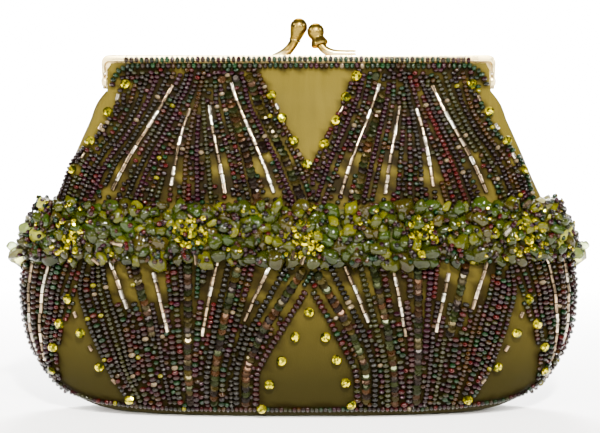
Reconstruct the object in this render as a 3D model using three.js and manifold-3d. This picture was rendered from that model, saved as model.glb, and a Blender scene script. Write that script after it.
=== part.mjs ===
// A beaded evening purse with a kiss-lock frame, standing closed on its base.
// Millimetres, +Z up, the front faces -Y, and the origin is the middle of the flat base.
//
// The satin bag is a hollow two-panel pouch. Its mouth is sewn in front of the flanges of two
// gilt frame halves, which are riveted together at the sides and snap shut with two crossing knobs.
// A belt of glass chips runs round the belly, with five crystal rosettes in it on the front,
// and single cut crystals edge the bare satin windows between the beaded fans.

import * as THREE from "three";
import { mergeVertices } from "three/addons/utils/BufferGeometryUtils.js";
import Module from "manifold-3d";

const wasm = await Module();
wasm.setup();

// The bag
const bellyWidth = 231;
const bellyDepth = 48;
const bellyHeight = 52;
const baseLength = 144;
const baseDepth = 28;
const baseRoundness = 2.2;
const seamTop = 134;
const mouthWidth = 162;
const clothWall = 1.8;
const clothLayerDepth = 11.6;
const floorThickness = 2;

// The frame
const frameWidth = 162.5;
const frameTop = 149.3;
const frameDepth = 12;
const frameSplit = 0.6;
const rimFace = 2.7;
const rimSideFace = 1.4;
const rimCornerRadius = 3.2;
const rimEdgeRound = 0.45;
const flangeWidth = 6.5;
const flangeThickness = 1;
const fitGap = 0.3;

// The hinges
const hingeHeight = 138.4;
const earRadius = 3.2;
const earThickness = 0.6;
const earGap = 0.2;
const rivetRadius = 0.9;
const rivetHoleGap = 0.25;
const rivetHeadRadius = 1.9;
const rivetHeadHeight = 0.7;
const rivetTailRadius = 1.6;
const rivetTailHeight = 0.5;

// The kiss-lock knobs
const knobRadius = 3.45;
const knobTaper = 6.4;
const stemRadius = 1.7;
const collarRadius = 2.7;
const collarHeight = 1.5;
const solderDepth = 1.2;

// The belt of chips
const beltHeight = 75;
const beltWidth = 21;
const beltThickness = 1.2;
const beltEndGap = 0.5;
const chipColumns = 20;
const chipRows = 3;
const chipLength = 10;
const chipWidth = 8;
const chipThickness = 6;
const chipStandingHeight = 13;
const chipSink = 0.8;

// The cut stones
const crystalDiameter = 4.2;
const crystalHeight = 2.7;
const crystalSides = 8;
const petalSides = 6;
const rosetteRadius = 8;
const rosettePlate = 0.9;
const rosetteUndercut = 0.6;
const rosettePetalInset = 0.1;
const stoneSink = 0.45;
const rosetteHeartDiameter = 6;
const rosetteHeartHeight = 3.4;
const rosettePetalDiameter = 4.4;
const rosettePetals = 6;

// How finely round forms are faceted
const ringStations = 32;
const liningStations = 24;
const baseArcSteps = 6;
const roundSides = 10;

const satin = new THREE.MeshStandardMaterial({ color: 0x8a7a3e, roughness: 0.45, metalness: 0 });
const gilt = new THREE.MeshStandardMaterial({ color: 0xd9b76a, roughness: 0.22, metalness: 1 });
const chipGlass = new THREE.MeshStandardMaterial({ color: 0x6f7d2c, roughness: 0.12, metalness: 0 });
const crystalGlass = new THREE.MeshStandardMaterial({ color: 0xc6b81e, roughness: 0.05, metalness: 0 });

// The bag between its belly and the frame. Rise is the share of the way up from the belly to the
// top of the side seams. Wide and deep are shares of the way from the mouth's size to the belly's.
// Square is the exponent of the outline: 2 is an ellipse, and more is boxier.
const upperSections = [
  { rise: 0, wide: 1, deep: 1, square: 2.3 },
  { rise: 0.15, wide: 0.955, deep: 0.985, square: 2.3 },
  { rise: 0.3, wide: 0.82, deep: 0.92, square: 2.35 },
  { rise: 0.5, wide: 0.575, deep: 0.76, square: 2.5 },
  { rise: 0.72, wide: 0.335, deep: 0.5, square: 2.9 },
  { rise: 0.9, wide: 0.125, deep: 0.19, square: 3.8 },
  { rise: 1, wide: 0, deep: 0, square: 6 },
];
const baseSquare = 2.5;
const frameSquare = 9;

// Lines of single crystals along the edges of the bare satin windows, from first to last.
// X is a share of half the bag's width at that height, and z a share of the frame's height.
const crystalLines = [
  { name: "top_window_left", x0: -0.136, z0: 0.886, x1: 0.037, z1: 0.7, count: 4 },
  { name: "top_window_right", x0: 0.298, z0: 0.942, x1: 0.112, z1: 0.754, count: 4 },
  { name: "shoulder_left", x0: -0.896, z0: 0.92, x1: -0.952, z1: 0.682, count: 4 },
  { name: "shoulder_right", x0: 0.896, z0: 0.92, x1: 0.952, z1: 0.682, count: 4 },
  { name: "low_window_left", x0: 0.038, z0: 0.304, x1: -0.163, z1: 0.036, count: 5 },
  { name: "low_window_right", x0: 0.096, z0: 0.236, x1: 0.226, z1: 0.045, count: 4 },
  { name: "left_window_inner", x0: -0.816, z0: 0.332, x1: -0.716, z1: 0.054, count: 4 },
  { name: "left_window_outer", x0: -0.855, z0: 0.262, x1: -0.953, z1: 0.128, count: 3 },
  { name: "right_window_inner", x0: 0.816, z0: 0.332, x1: 0.716, z1: 0.054, count: 4 },
  { name: "right_window_outer", x0: 0.855, z0: 0.262, x1: 0.953, z1: 0.128, count: 3 },
];

// The rosettes in the belt, from left to right: x as above, and how far each sits above or below
// the belt's middle as a share of its width.
const rosetteSeats = [
  { x: -0.84, lift: -0.06 },
  { x: -0.389, lift: 0.09 },
  { x: 0.024, lift: -0.05 },
  { x: 0.455, lift: 0.05 },
  { x: 0.84, lift: -0.06 },
];

const clothTop = frameTop - rimFace - fitGap;
const clothHalfWidth = frameWidth / 2 - rimSideFace - fitGap;
const clothInner = clothLayerDepth / 2 - clothWall;
const mouthTuckHeight = hingeHeight - earRadius - fitGap;

// Three.js geometry to a solid and back, for joining and cutting
function solidOf(geometry) {
  const bare = geometry.clone();
  for (const name of Object.keys(bare.attributes)) {
    if (name !== "position") bare.deleteAttribute(name);
  }
  const merged = mergeVertices(bare, 1e-4);
  return new wasm.Manifold(
    new wasm.Mesh({
      numProp: 3,
      vertProperties: new Float32Array(merged.attributes.position.array),
      triVerts: new Uint32Array(merged.index.array),
    }),
  );
}

function geometryOf(solid) {
  const mesh = solid.getMesh();
  return new THREE.BufferGeometry()
    .setAttribute("position", new THREE.BufferAttribute(mesh.vertProperties, 3))
    .setIndex(new THREE.BufferAttribute(mesh.triVerts, 1))
    .toNonIndexed();
}

function joined(geometries) {
  return geometries.map(solidOf).reduce((whole, piece) => whole.add(piece));
}

function piece(name, geometry, material) {
  geometry.computeVertexNormals();
  const mesh = new THREE.Mesh(geometry, material);
  mesh.name = name;
  return mesh;
}

// A repeatable scatter between -1 and 1 for the chips
function scatter(index, salt) {
  const wave = Math.sin(index * 12.9898 + salt * 78.233) * 43758.5453;
  return 2 * (wave - Math.floor(wave)) - 1;
}

function mix(a, b, share) {
  return a + (b - a) * share;
}

// The rings of the bag's outside, from the base up to the top of the side seams
function bagRings() {
  const rings = [];
  for (let step = 0; step <= baseArcSteps; step++) {
    const angle = (Math.PI / 2) * (step / baseArcSteps);
    const reach = Math.sin(angle) ** (2 / baseRoundness);
    rings.push({
      z: bellyHeight * (1 - Math.cos(angle) ** (2 / baseRoundness)),
      halfWidth: mix(baseLength, bellyWidth, reach) / 2,
      halfDepth: mix(baseDepth, bellyDepth, reach) / 2,
      square: mix(baseSquare, upperSections[0].square, reach),
    });
  }
  for (const row of upperSections.slice(1)) {
    rings.push({
      z: mix(bellyHeight, seamTop, row.rise),
      halfWidth: mix(mouthWidth, bellyWidth, row.wide) / 2,
      halfDepth: mix(clothLayerDepth, bellyDepth, row.deep) / 2,
      square: row.square,
    });
  }
  const mouth = { halfWidth: clothHalfWidth, halfDepth: clothLayerDepth / 2, square: frameSquare };
  rings.push({ z: mouthTuckHeight, ...mouth });
  rings.push({ z: clothTop, ...mouth });
  return rings;
}

const rings = bagRings();

function ringAt(z) {
  const above = Math.max(1, rings.findIndex((ring) => ring.z >= z));
  const low = rings[above - 1];
  const high = rings[above];
  const share = (z - low.z) / (high.z - low.z);
  return {
    z,
    halfWidth: mix(low.halfWidth, high.halfWidth, share),
    halfDepth: mix(low.halfDepth, high.halfDepth, share),
    square: mix(low.square, high.square, share),
  };
}

// A point of a ring. Turn 0 is the right side seam, a quarter turn the front, and a half turn the left seam.
function ringPoint(ring, turn) {
  const power = 2 / ring.square;
  const across = Math.cos(turn);
  const along = Math.sin(turn);
  return new THREE.Vector3(
    ring.halfWidth * Math.sign(across) * Math.abs(across) ** power,
    -ring.halfDepth * Math.sign(along) * Math.abs(along) ** power,
    ring.z,
  );
}

function clothPoint(turn, z) {
  return ringPoint(ringAt(z), turn);
}

function clothNormal(turn, z) {
  const step = 0.02;
  const rise = 0.4;
  const sideways = clothPoint(turn + step, z).sub(clothPoint(turn - step, z));
  const upwards = clothPoint(turn, z + rise).sub(clothPoint(turn, z - rise));
  return upwards.cross(sideways).normalize();
}

// The turn at which the front reaches a given share of its half width
function turnAt(share, z) {
  return Math.acos(Math.sign(share) * Math.abs(share) ** (ringAt(z).square / 2));
}

// A closed body through rings of points, each ring with as many points, capped flat at both ends
function loft(pointRings) {
  const count = pointRings[0].length;
  const points = pointRings.flat();
  const faces = [];
  for (let level = 0; level < pointRings.length - 1; level++) {
    for (let i = 0; i < count; i++) {
      const a = level * count + i;
      const b = level * count + ((i + 1) % count);
      faces.push(a, a + count, b, b, a + count, b + count);
    }
  }
  for (const [level, outward] of [[0, 1], [pointRings.length - 1, -1]]) {
    const middle = points.length;
    const sum = pointRings[level].reduce((total, point) => total.add(point), new THREE.Vector3());
    points.push(sum.divideScalar(count));
    for (let i = 0; i < count; i++) {
      const a = level * count + i;
      const b = level * count + ((i + 1) % count);
      faces.push(...(outward > 0 ? [middle, a, b] : [middle, b, a]));
    }
  }
  const geometry = new THREE.BufferGeometry().setFromPoints(points);
  geometry.setIndex(faces);
  return geometry;
}

function stationsOf(ring, count) {
  return Array.from({ length: count }, (_, i) => ringPoint(ring, (2 * Math.PI * i) / count));
}

// The bag: the outside form, less the same form a wall smaller, less the slot between the frame halves
function satinBag() {
  const outside = solidOf(loft(rings.map((ring) => stationsOf(ring, ringStations))));
  const hollow = rings.map((ring) => ({
    ...ring,
    z: Math.max(ring.z, floorThickness),
    halfWidth: ring.halfWidth - clothWall,
    halfDepth: ring.halfDepth - clothWall,
  }));
  const firstInside = rings.findIndex((ring) => ring.z > floorThickness);
  const inner = [{ ...hollow[firstInside - 1] }, ...hollow.slice(firstInside)];
  inner.push({ ...inner[inner.length - 1], z: clothTop + clothWall });
  const inside = solidOf(loft(inner.map((ring) => stationsOf(ring, liningStations))));
  const slotFloor = seamTop + fitGap;
  const slot = new THREE.BoxGeometry(2 * frameWidth, 2 * clothInner, 2 * (clothTop - slotFloor));
  slot.translate(0, 0, clothTop);
  return geometryOf(outside.subtract(inside).subtract(solidOf(slot)));
}

// An upside-down U in the X-Z plane, as a shape in X-Y: its legs end at footHeight
function archShape(outerHalf, outerTop, outerRadius, innerHalf, innerTop, innerRadius, footHeight) {
  const shape = new THREE.Shape();
  shape.moveTo(-outerHalf, footHeight);
  shape.lineTo(-innerHalf, footHeight);
  shape.lineTo(-innerHalf, innerTop - innerRadius);
  shape.absarc(-innerHalf + innerRadius, innerTop - innerRadius, innerRadius, Math.PI, Math.PI / 2, true);
  shape.lineTo(innerHalf - innerRadius, innerTop);
  shape.absarc(innerHalf - innerRadius, innerTop - innerRadius, innerRadius, Math.PI / 2, 0, true);
  shape.lineTo(innerHalf, footHeight);
  shape.lineTo(outerHalf, footHeight);
  shape.lineTo(outerHalf, outerTop - outerRadius);
  shape.absarc(outerHalf - outerRadius, outerTop - outerRadius, outerRadius, 0, Math.PI / 2, false);
  shape.lineTo(-outerHalf + outerRadius, outerTop);
  shape.absarc(-outerHalf + outerRadius, outerTop - outerRadius, outerRadius, Math.PI / 2, Math.PI, false);
  shape.closePath();
  return shape;
}

// The rim and flange of the front half, in front of the split between the halves
function frameArch() {
  const rimInnerHalf = frameWidth / 2 - rimSideFace;
  const rimInnerTop = frameTop - rimFace;
  const rimFoot = hingeHeight + earRadius + fitGap;
  const innerRadius = rimCornerRadius / 2;
  const outline = [frameWidth / 2, frameTop, rimCornerRadius];
  const rimDepth = (frameDepth - frameSplit) / 2;
  const rim = new THREE.ExtrudeGeometry(
    archShape(...outline, rimInnerHalf, rimInnerTop, innerRadius, rimFoot),
    {
      depth: rimDepth - 2 * rimEdgeRound,
      bevelThickness: rimEdgeRound,
      bevelSize: rimEdgeRound,
      bevelOffset: -rimEdgeRound,
      bevelSegments: 1,
      curveSegments: 3,
    },
  );
  rim.rotateX(Math.PI / 2);
  rim.translate(0, -frameSplit / 2 - rimEdgeRound, 0);
  const rooted = rimSideFace / 2;
  const flange = new THREE.ExtrudeGeometry(
    archShape(
      rimInnerHalf + rooted,
      rimInnerTop + rooted,
      innerRadius,
      rimInnerHalf - flangeWidth,
      rimInnerTop - flangeWidth,
      innerRadius,
      rimFoot + rooted,
    ),
    { depth: flangeThickness, bevelEnabled: false, curveSegments: 2 },
  );
  flange.rotateX(Math.PI / 2);
  flange.translate(0, -clothInner + fitGap + flangeThickness, 0);
  return [rim, flange];
}

// The hinge ear below one leg of the front half. Side is 1 on the right; inset moves it inwards.
function hingeEar(side, inset) {
  const rimFoot = hingeHeight + earRadius + fitGap;
  const root = rimFoot + rimSideFace;
  const shape = new THREE.Shape();
  shape.moveTo(-frameDepth / 2 + rimEdgeRound, root);
  shape.lineTo(-frameDepth / 2 + rimEdgeRound, rimFoot);
  shape.lineTo(-earRadius, hingeHeight);
  shape.absarc(0, hingeHeight, earRadius, Math.PI, 2 * Math.PI + Math.PI / 3, false);
  shape.lineTo(-frameSplit, rimFoot);
  shape.lineTo(-frameSplit, root);
  shape.closePath();
  const ear = new THREE.ExtrudeGeometry(shape, {
    depth: earThickness,
    bevelEnabled: false,
    curveSegments: 8,
  });
  // Shape X becomes world Y, shape Y world Z, and the thickness world X
  ear.applyMatrix4(new THREE.Matrix4().set(0, 0, 1, 0, 1, 0, 0, 0, 0, 1, 0, 0, 0, 0, 0, 1));
  const outerFace = frameWidth / 2 - inset;
  ear.translate(side > 0 ? outerFace - earThickness : -outerFace, 0, 0);
  return ear;
}

function hingeHole(side) {
  const hole = new THREE.CylinderGeometry(
    rivetRadius + rivetHoleGap,
    rivetRadius + rivetHoleGap,
    rimSideFace * 4,
    roundSides,
  );
  hole.rotateZ(Math.PI / 2);
  hole.translate((side * frameWidth) / 2, 0, hingeHeight);
  return hole;
}

// A stem that runs along the rim's top and bends up into its knob. Points are x, y and height above the rim.
function knobOnStem(route) {
  const points = route.map(([x, y, up]) => new THREE.Vector3(x, y, frameTop + up));
  const head = points[points.length - 1];
  const path = new THREE.CatmullRomCurve3(points);
  const section = new THREE.Shape();
  section.absarc(0, 0, stemRadius, 0, 2 * Math.PI, false);
  const stem = new THREE.ExtrudeGeometry(section, {
    extrudePath: path,
    steps: 12,
    bevelEnabled: false,
    curveSegments: 5,
  });
  const knob = knobAndCollar();
  const upright = new THREE.Quaternion().setFromUnitVectors(new THREE.Vector3(0, 1, 0), path.getTangent(1));
  knob.applyQuaternion(upright);
  knob.translate(head.x, head.y, head.z);
  return [stem, knob];
}

// A drop-shaped knob on a flared collar, turned about Y, with its ball round the origin
function knobAndCollar() {
  const profile = [
    [0, -knobTaper - collarHeight],
    [stemRadius, -knobTaper - collarHeight],
    [collarRadius, -knobTaper],
    [stemRadius, -knobTaper + collarHeight / 3],
  ];
  for (const degrees of [-35, -5, 25, 55, 90]) {
    const angle = THREE.MathUtils.degToRad(degrees);
    profile.push([knobRadius * Math.cos(angle), knobRadius * Math.sin(angle)]);
  }
  return new THREE.LatheGeometry(
    profile.map(([radius, y]) => new THREE.Vector2(Math.max(0, radius), y)),
    roundSides,
  );
}

const rimMiddle = (frameDepth + frameSplit) / 4;
const stemRest = stemRadius - solderDepth;
const frontKnobRoute = [
  [23.7, -rimMiddle, stemRest],
  [18, -rimMiddle, stemRest],
  [14, -rimMiddle, stemRest],
  [11, -2.8, 2.3],
  [9.3, -2.1, 4.6],
  [8.3, -1.4, 6.8],
  [7.3, -0.6, 10.6],
];
// Written as the front half sees it, before it is turned round to the back
const backKnobRoute = [
  [9.5, -rimMiddle, -solderDepth / 2],
  [7, -rimMiddle, 0.2],
  [5, -2.9, 1.3],
  [3.4, -2.4, 3],
  [1.4, -1.6, 6.2],
  [-0.2, -0.6, 12.6],
];

function frameHalf(route, earInset) {
  const body = joined([...frameArch(), hingeEar(1, earInset), hingeEar(-1, earInset), ...knobOnStem(route)]);
  return geometryOf(body.subtract(solidOf(hingeHole(1))).subtract(solidOf(hingeHole(-1))));
}

// A rivet through both ears, along X, with its domed head outside
function hingeRivet(side) {
  const outerFace = frameWidth / 2 + earGap;
  const innerFace = frameWidth / 2 - 2 * earThickness - 2 * earGap;
  const profile = [
    [0, innerFace - rivetTailHeight],
    [rivetTailRadius, innerFace - rivetTailHeight],
    [rivetTailRadius, innerFace],
    [rivetRadius, innerFace],
    [rivetRadius, outerFace],
    [rivetHeadRadius, outerFace],
    [rivetHeadRadius * 0.8, outerFace + rivetHeadHeight * 0.65],
    [0, outerFace + rivetHeadHeight],
  ];
  const rivet = new THREE.LatheGeometry(
    profile.map(([radius, x]) => new THREE.Vector2(radius, x)),
    roundSides,
  );
  rivet.rotateZ((-side * Math.PI) / 2);
  rivet.translate(0, 0, hingeHeight);
  return rivet;
}

// A strip that follows the front of the bag from seam to seam. Its underside is cut by the cloth later.
function beltStrip() {
  const low = beltHeight - beltWidth / 2;
  const high = beltHeight + beltWidth / 2;
  const between = rings.map((ring) => ring.z).filter((z) => z > low + fitGap && z < high - fitGap);
  const heights = [low, ...between, high];
  const sections = [];
  for (let station = 0; station <= ringStations / 2; station++) {
    const turn = (2 * Math.PI * station) / ringStations;
    const lift = (z, off) => clothPoint(turn, z).addScaledVector(clothNormal(turn, z), off);
    const under = heights.map((z) => lift(z, -clothWall / 2));
    const over = heights.map((z) => lift(z, fitGap + beltThickness)).reverse();
    sections.push([...under, ...over]);
  }
  return loft(sections);
}

// The bag's outside form, larger by the fit gap all round, to cut what is sewn on it
function clothWithGap() {
  const grown = rings.map((ring) => ({
    ...ring,
    halfWidth: ring.halfWidth + fitGap,
    halfDepth: ring.halfDepth + fitGap,
  }));
  return solidOf(loft(grown.map((ring) => stationsOf(ring, ringStations))));
}

// Turns spread evenly along the cloth from seam to seam at the belt's height
function evenTurns(count) {
  const samples = 240;
  const lengths = [0];
  for (let i = 1; i <= samples; i++) {
    const here = clothPoint((Math.PI * i) / samples, beltHeight);
    const before = clothPoint((Math.PI * (i - 1)) / samples, beltHeight);
    lengths.push(lengths[i - 1] + here.distanceTo(before));
  }
  return Array.from({ length: count }, (_, k) => {
    const target = (lengths[samples] * (k + 0.5)) / count;
    const i = lengths.findIndex((length) => length >= target);
    const share = (target - lengths[i - 1]) / (lengths[i] - lengths[i - 1]);
    return (Math.PI * (i - 1 + share)) / samples;
  });
}

// A rough eight-sided nugget, lying flat on the front and standing on end at the side seams
function chip(index, turn, z) {
  const nugget = new THREE.OctahedronGeometry(0.5, 0);
  const upended = Math.abs(Math.cos(turn)) ** 8;
  const size = 1 + 0.16 * scatter(index, 1);
  const height = mix(chipThickness, chipStandingHeight, upended) * size;
  const width = chipWidth * (1 + 0.15 * scatter(index, 2));
  nugget.rotateY(Math.PI / 5);
  nugget.scale(mix(chipLength, chipThickness, upended) * size, width, height);
  nugget.rotateX(0.35 * scatter(index, 3));
  nugget.rotateZ(Math.PI * scatter(index, 4));
  const off = fitGap + beltThickness - chipSink + height * (0.36 + 0.08 * scatter(index, 5));
  return seated(nugget, turn, z, off);
}

function rosetteSeat({ x, lift }) {
  const z = beltHeight + lift * beltWidth;
  return { z, turn: turnAt(x, z) };
}

// Moves a form made on the X-Y plane, facing +Z, to a seat on the cloth
function seated(geometry, turn, z, off) {
  const outward = clothNormal(turn, z);
  const seat = clothPoint(turn, z).addScaledVector(outward, off);
  geometry.applyQuaternion(new THREE.Quaternion().setFromUnitVectors(new THREE.Vector3(0, 0, 1), outward));
  geometry.translate(seat.x, seat.y, seat.z);
  return geometry;
}

function chipBelt() {
  const pieces = [beltStrip()];
  evenTurns(chipColumns).forEach((turn, column) => {
    for (let row = 0; row < chipRows; row++) {
      const index = column * chipRows + row;
      const across = (row + 0.5) / chipRows - 0.5 + 0.09 * scatter(index, 6);
      const drift = ((Math.PI / chipColumns) * 0.12 + 0.02) * scatter(index, 7) * Math.sin(turn);
      pieces.push(chip(index, turn + drift, beltHeight + across * (beltWidth + 1)));
    }
  });
  let belt = joined(pieces);
  for (const seat of rosetteSeats) {
    const { turn, z } = rosetteSeat(seat);
    const depth = 2 * chipThickness;
    const clearing = new THREE.CylinderGeometry(rosetteRadius + fitGap, rosetteRadius + fitGap, depth, roundSides);
    clearing.rotateX(Math.PI / 2);
    clearing.translate(0, 0, depth / 2);
    belt = belt.subtract(solidOf(seated(clearing, turn, z, fitGap + beltThickness)));
  }
  const behindSeam = new THREE.BoxGeometry(2 * bellyWidth, bellyDepth, beltWidth * 3);
  behindSeam.translate(0, bellyDepth / 2 - beltEndGap / 2, beltHeight);
  return belt.subtract(clothWithGap()).subtract(solidOf(behindSeam));
}

// The biggest body of a solid: chips cut off from the belt are dropped
function largestBody(solid) {
  return solid.decompose().reduce((best, body) => (body.volume() > best.volume() ? body : best));
}

// A round stone with a pointed back, a girdle, a crown and a flat table, facing +Z with its point at 0
function cutStone(diameter, height, sides) {
  const radius = diameter / 2;
  const profile = [
    [0, 0],
    [radius, height * 0.55],
    [radius * 0.58, height],
    [0, height],
  ];
  const stone = new THREE.LatheGeometry(profile.map(([r, y]) => new THREE.Vector2(r, y)), sides);
  stone.rotateX(Math.PI / 2);
  return stone;
}

function rosette() {
  const foot = rosetteRadius - rosetteUndercut;
  const plate = new THREE.CylinderGeometry(rosetteRadius, foot, rosettePlate, roundSides);
  plate.rotateX(Math.PI / 2);
  plate.translate(0, 0, rosettePlate / 2);
  const heart = cutStone(rosetteHeartDiameter, rosetteHeartHeight, crystalSides);
  heart.translate(0, 0, rosettePlate - stoneSink);
  const stones = [plate, heart];
  for (let i = 0; i < rosettePetals; i++) {
    const angle = (2 * Math.PI * i) / rosettePetals;
    const reach = rosetteRadius - rosettePetalDiameter / 2 - rosettePetalInset;
    const petal = cutStone(rosettePetalDiameter, crystalHeight, petalSides);
    petal.rotateZ(angle);
    petal.translate(Math.cos(angle) * reach, Math.sin(angle) * reach, rosettePlate - stoneSink);
    stones.push(petal);
  }
  return geometryOf(joined(stones));
}

const purse = new THREE.Group();
purse.name = "purse";
purse.add(piece("satin_bag", satinBag(), satin));

purse.add(piece("frame_front", frameHalf(frontKnobRoute, 0), gilt));
const backHalf = piece("frame_back", frameHalf(backKnobRoute, earThickness + earGap), gilt);
backHalf.rotation.z = Math.PI;
purse.add(backHalf);
purse.add(piece("hinge_rivet_right", hingeRivet(1), gilt));
purse.add(piece("hinge_rivet_left", hingeRivet(-1), gilt));

const belt = geometryOf(largestBody(chipBelt()));
purse.add(piece("chip_belt_front", belt, chipGlass));
const backBelt = piece("chip_belt_back", belt.clone(), chipGlass);
backBelt.rotation.z = Math.PI;
purse.add(backBelt);

rosetteSeats.forEach((seat, index) => {
  const { turn, z } = rosetteSeat(seat);
  const form = seated(rosette(), turn, z, 2 * fitGap + beltThickness);
  purse.add(piece(`rosette_${index + 1}`, form, crystalGlass));
});

for (const line of crystalLines) {
  for (let i = 0; i < line.count; i++) {
    const share = i / (line.count - 1);
    const z = mix(line.z0, line.z1, share) * frameTop;
    const stone = cutStone(crystalDiameter, crystalHeight, crystalSides);
    const form = seated(stone, turnAt(mix(line.x0, line.x1, share), z), z, fitGap);
    purse.add(piece(`crystal_${line.name}_${i + 1}`, form, crystalGlass));
  }
}

export default purse;
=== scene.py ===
# %% [markdown]
# # A beaded evening purse
# The purse is a satin pouch sewn into a gilt kiss-lock frame. Fans of glass beads run down it from
# the frame and from a belt of glass chips round its belly. The metal, the pouch and the stones already
# have their size and place in the frame that this script loads. Everything here gives them their
# looks, and adds what is too small for a construction model: some nine thousand beads.

import math
import random
from collections import namedtuple
from itertools import product

import bmesh
import bpy
import numpy as np
from mathutils import Matrix, Vector, noise
from mathutils.bvhtree import BVHTree


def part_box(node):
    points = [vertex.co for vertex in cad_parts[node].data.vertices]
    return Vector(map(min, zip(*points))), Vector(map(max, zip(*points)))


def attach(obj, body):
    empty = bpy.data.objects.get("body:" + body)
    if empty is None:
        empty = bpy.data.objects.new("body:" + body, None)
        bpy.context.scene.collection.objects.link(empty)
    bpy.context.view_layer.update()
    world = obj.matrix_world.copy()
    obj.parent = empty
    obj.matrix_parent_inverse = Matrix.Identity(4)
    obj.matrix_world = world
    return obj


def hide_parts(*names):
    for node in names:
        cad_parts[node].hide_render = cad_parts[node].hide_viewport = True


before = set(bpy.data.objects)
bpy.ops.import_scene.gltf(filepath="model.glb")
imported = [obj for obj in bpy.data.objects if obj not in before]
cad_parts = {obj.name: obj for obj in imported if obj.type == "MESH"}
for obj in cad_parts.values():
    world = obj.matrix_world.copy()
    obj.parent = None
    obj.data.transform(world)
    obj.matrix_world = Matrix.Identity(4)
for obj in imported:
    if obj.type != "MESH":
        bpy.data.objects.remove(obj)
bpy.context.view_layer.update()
MM = 0.001
scene = bpy.context.scene

# %% [markdown]
# ## The camera comes first
# Many beads are placed by where they show in the reference picture, 600 by 433 pixels. A pixel names a
# ray from the camera, and the bead sits where that ray meets the cloth. So the camera's place has to be
# known before the first bead is sewn on. It looks slightly down at the purse through a long lens.

# %% Camera
PICTURE_WIDTH = 600
PICTURE_HEIGHT = 433
LENS = 85
SENSOR = 36
WIDTH_IN_VIEW = 252 * MM
CAMERA_RISE = math.radians(5)
AIM = Vector((0.6 * MM, 0, 82 * MM))

distance = WIDTH_IN_VIEW * LENS / SENSOR
eye = AIM + distance * Vector((0, -math.cos(CAMERA_RISE), math.sin(CAMERA_RISE)))
forward = (AIM - eye).normalized()
upward = Vector((1, 0, 0)).cross(forward)

camera_data = bpy.data.cameras.new("camera")
camera_data.lens = LENS
camera_data.sensor_width = SENSOR
camera_data.clip_start = 0.01
camera = bpy.data.objects.new("camera", camera_data)
camera.location = eye
camera.rotation_euler = forward.to_track_quat("-Z", "Y").to_euler()
scene.collection.objects.link(camera)
scene.camera = camera


def ray_through(px, py):
    """The direction from the camera through a pixel of the reference picture."""
    across = (px - PICTURE_WIDTH / 2) / PICTURE_WIDTH * SENSOR / LENS
    up = (PICTURE_HEIGHT / 2 - py) / PICTURE_WIDTH * SENSOR / LENS
    return (forward + Vector((1, 0, 0)) * across + upward * up).normalized()


print("camera", round(distance / MM), "mm from the purse")

# %% [markdown]
# ## Finishing a piece
# Every new piece needs the same few things: a mesh, a material, a body to ride on, and the node that it
# stands for. One helper does this, so that no piece is forgotten. The whole purse is one rigid body.

# %% Helpers for pieces
def colour(red, green, blue):
    return (red, green, blue, 1)


def finish_piece(name, mesh, material, slot, replaced=(), smooth=True):
    """Turns a mesh into a piece of the purse."""
    if smooth:
        mesh.shade_smooth()
    else:
        mesh.shade_flat()
    mesh.materials.append(material)
    piece = bpy.data.objects.new(name, mesh)
    scene.collection.objects.link(piece)
    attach(piece, "root")
    if replaced:
        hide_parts(*replaced)
    return piece


def mesh_from(form, name):
    """A mesh made from a bmesh, which is freed."""
    mesh = bpy.data.meshes.new(name)
    form.to_mesh(mesh)
    form.free()
    return mesh


def soften(form, verts, factor):
    """Moves each corner towards the middle of its neighbours."""
    bmesh.ops.smooth_vert(
        form, verts=verts, factor=factor, use_axis_x=True, use_axis_y=True, use_axis_z=True
    )


def corners_in(geometry):
    """The corners among the things that a bmesh operator gives back."""
    return [item for item in geometry if isinstance(item, bmesh.types.BMVert)]


print("helpers ready")


# %% [markdown]
# ## Shared effects
# Real surfaces are never evenly shiny or evenly coloured. A soft mottle, made from two sizes of noise, is
# used by nearly every material here, so it is built once as a node group with named inputs. It puts out
# a value between its low and high inputs. The second group is a fine surface grain, as a height.

# %% Node groups
def new_group(name, inputs, outputs):
    group = bpy.data.node_groups.new(name, "ShaderNodeTree")
    for label, value in inputs.items():
        socket = group.interface.new_socket(label, in_out="INPUT", socket_type="NodeSocketFloat")
        socket.default_value = value
    group.interface.new_socket("Vector", in_out="INPUT", socket_type="NodeSocketVector")
    for label in outputs:
        group.interface.new_socket(label, in_out="OUTPUT", socket_type="NodeSocketFloat")
    return group, group.nodes.new("NodeGroupInput"), group.nodes.new("NodeGroupOutput")


def make_mottle():
    group, given, result = new_group("mottle", {"Scale": 60, "Low": 0.2, "High": 0.4}, ["Value"])
    nodes, links = group.nodes, group.links
    noise_node = nodes.new("ShaderNodeTexNoise")
    noise_node.inputs["Detail"].default_value = 5
    spread = nodes.new("ShaderNodeMapRange")
    spread.inputs["From Min"].default_value = 0.3
    spread.inputs["From Max"].default_value = 0.7
    links.new(given.outputs["Vector"], noise_node.inputs["Vector"])
    links.new(given.outputs["Scale"], noise_node.inputs["Scale"])
    links.new(noise_node.outputs["Fac"], spread.inputs["Value"])
    links.new(given.outputs["Low"], spread.inputs["To Min"])
    links.new(given.outputs["High"], spread.inputs["To Max"])
    links.new(spread.outputs["Result"], result.inputs["Value"])
    return group


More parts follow.
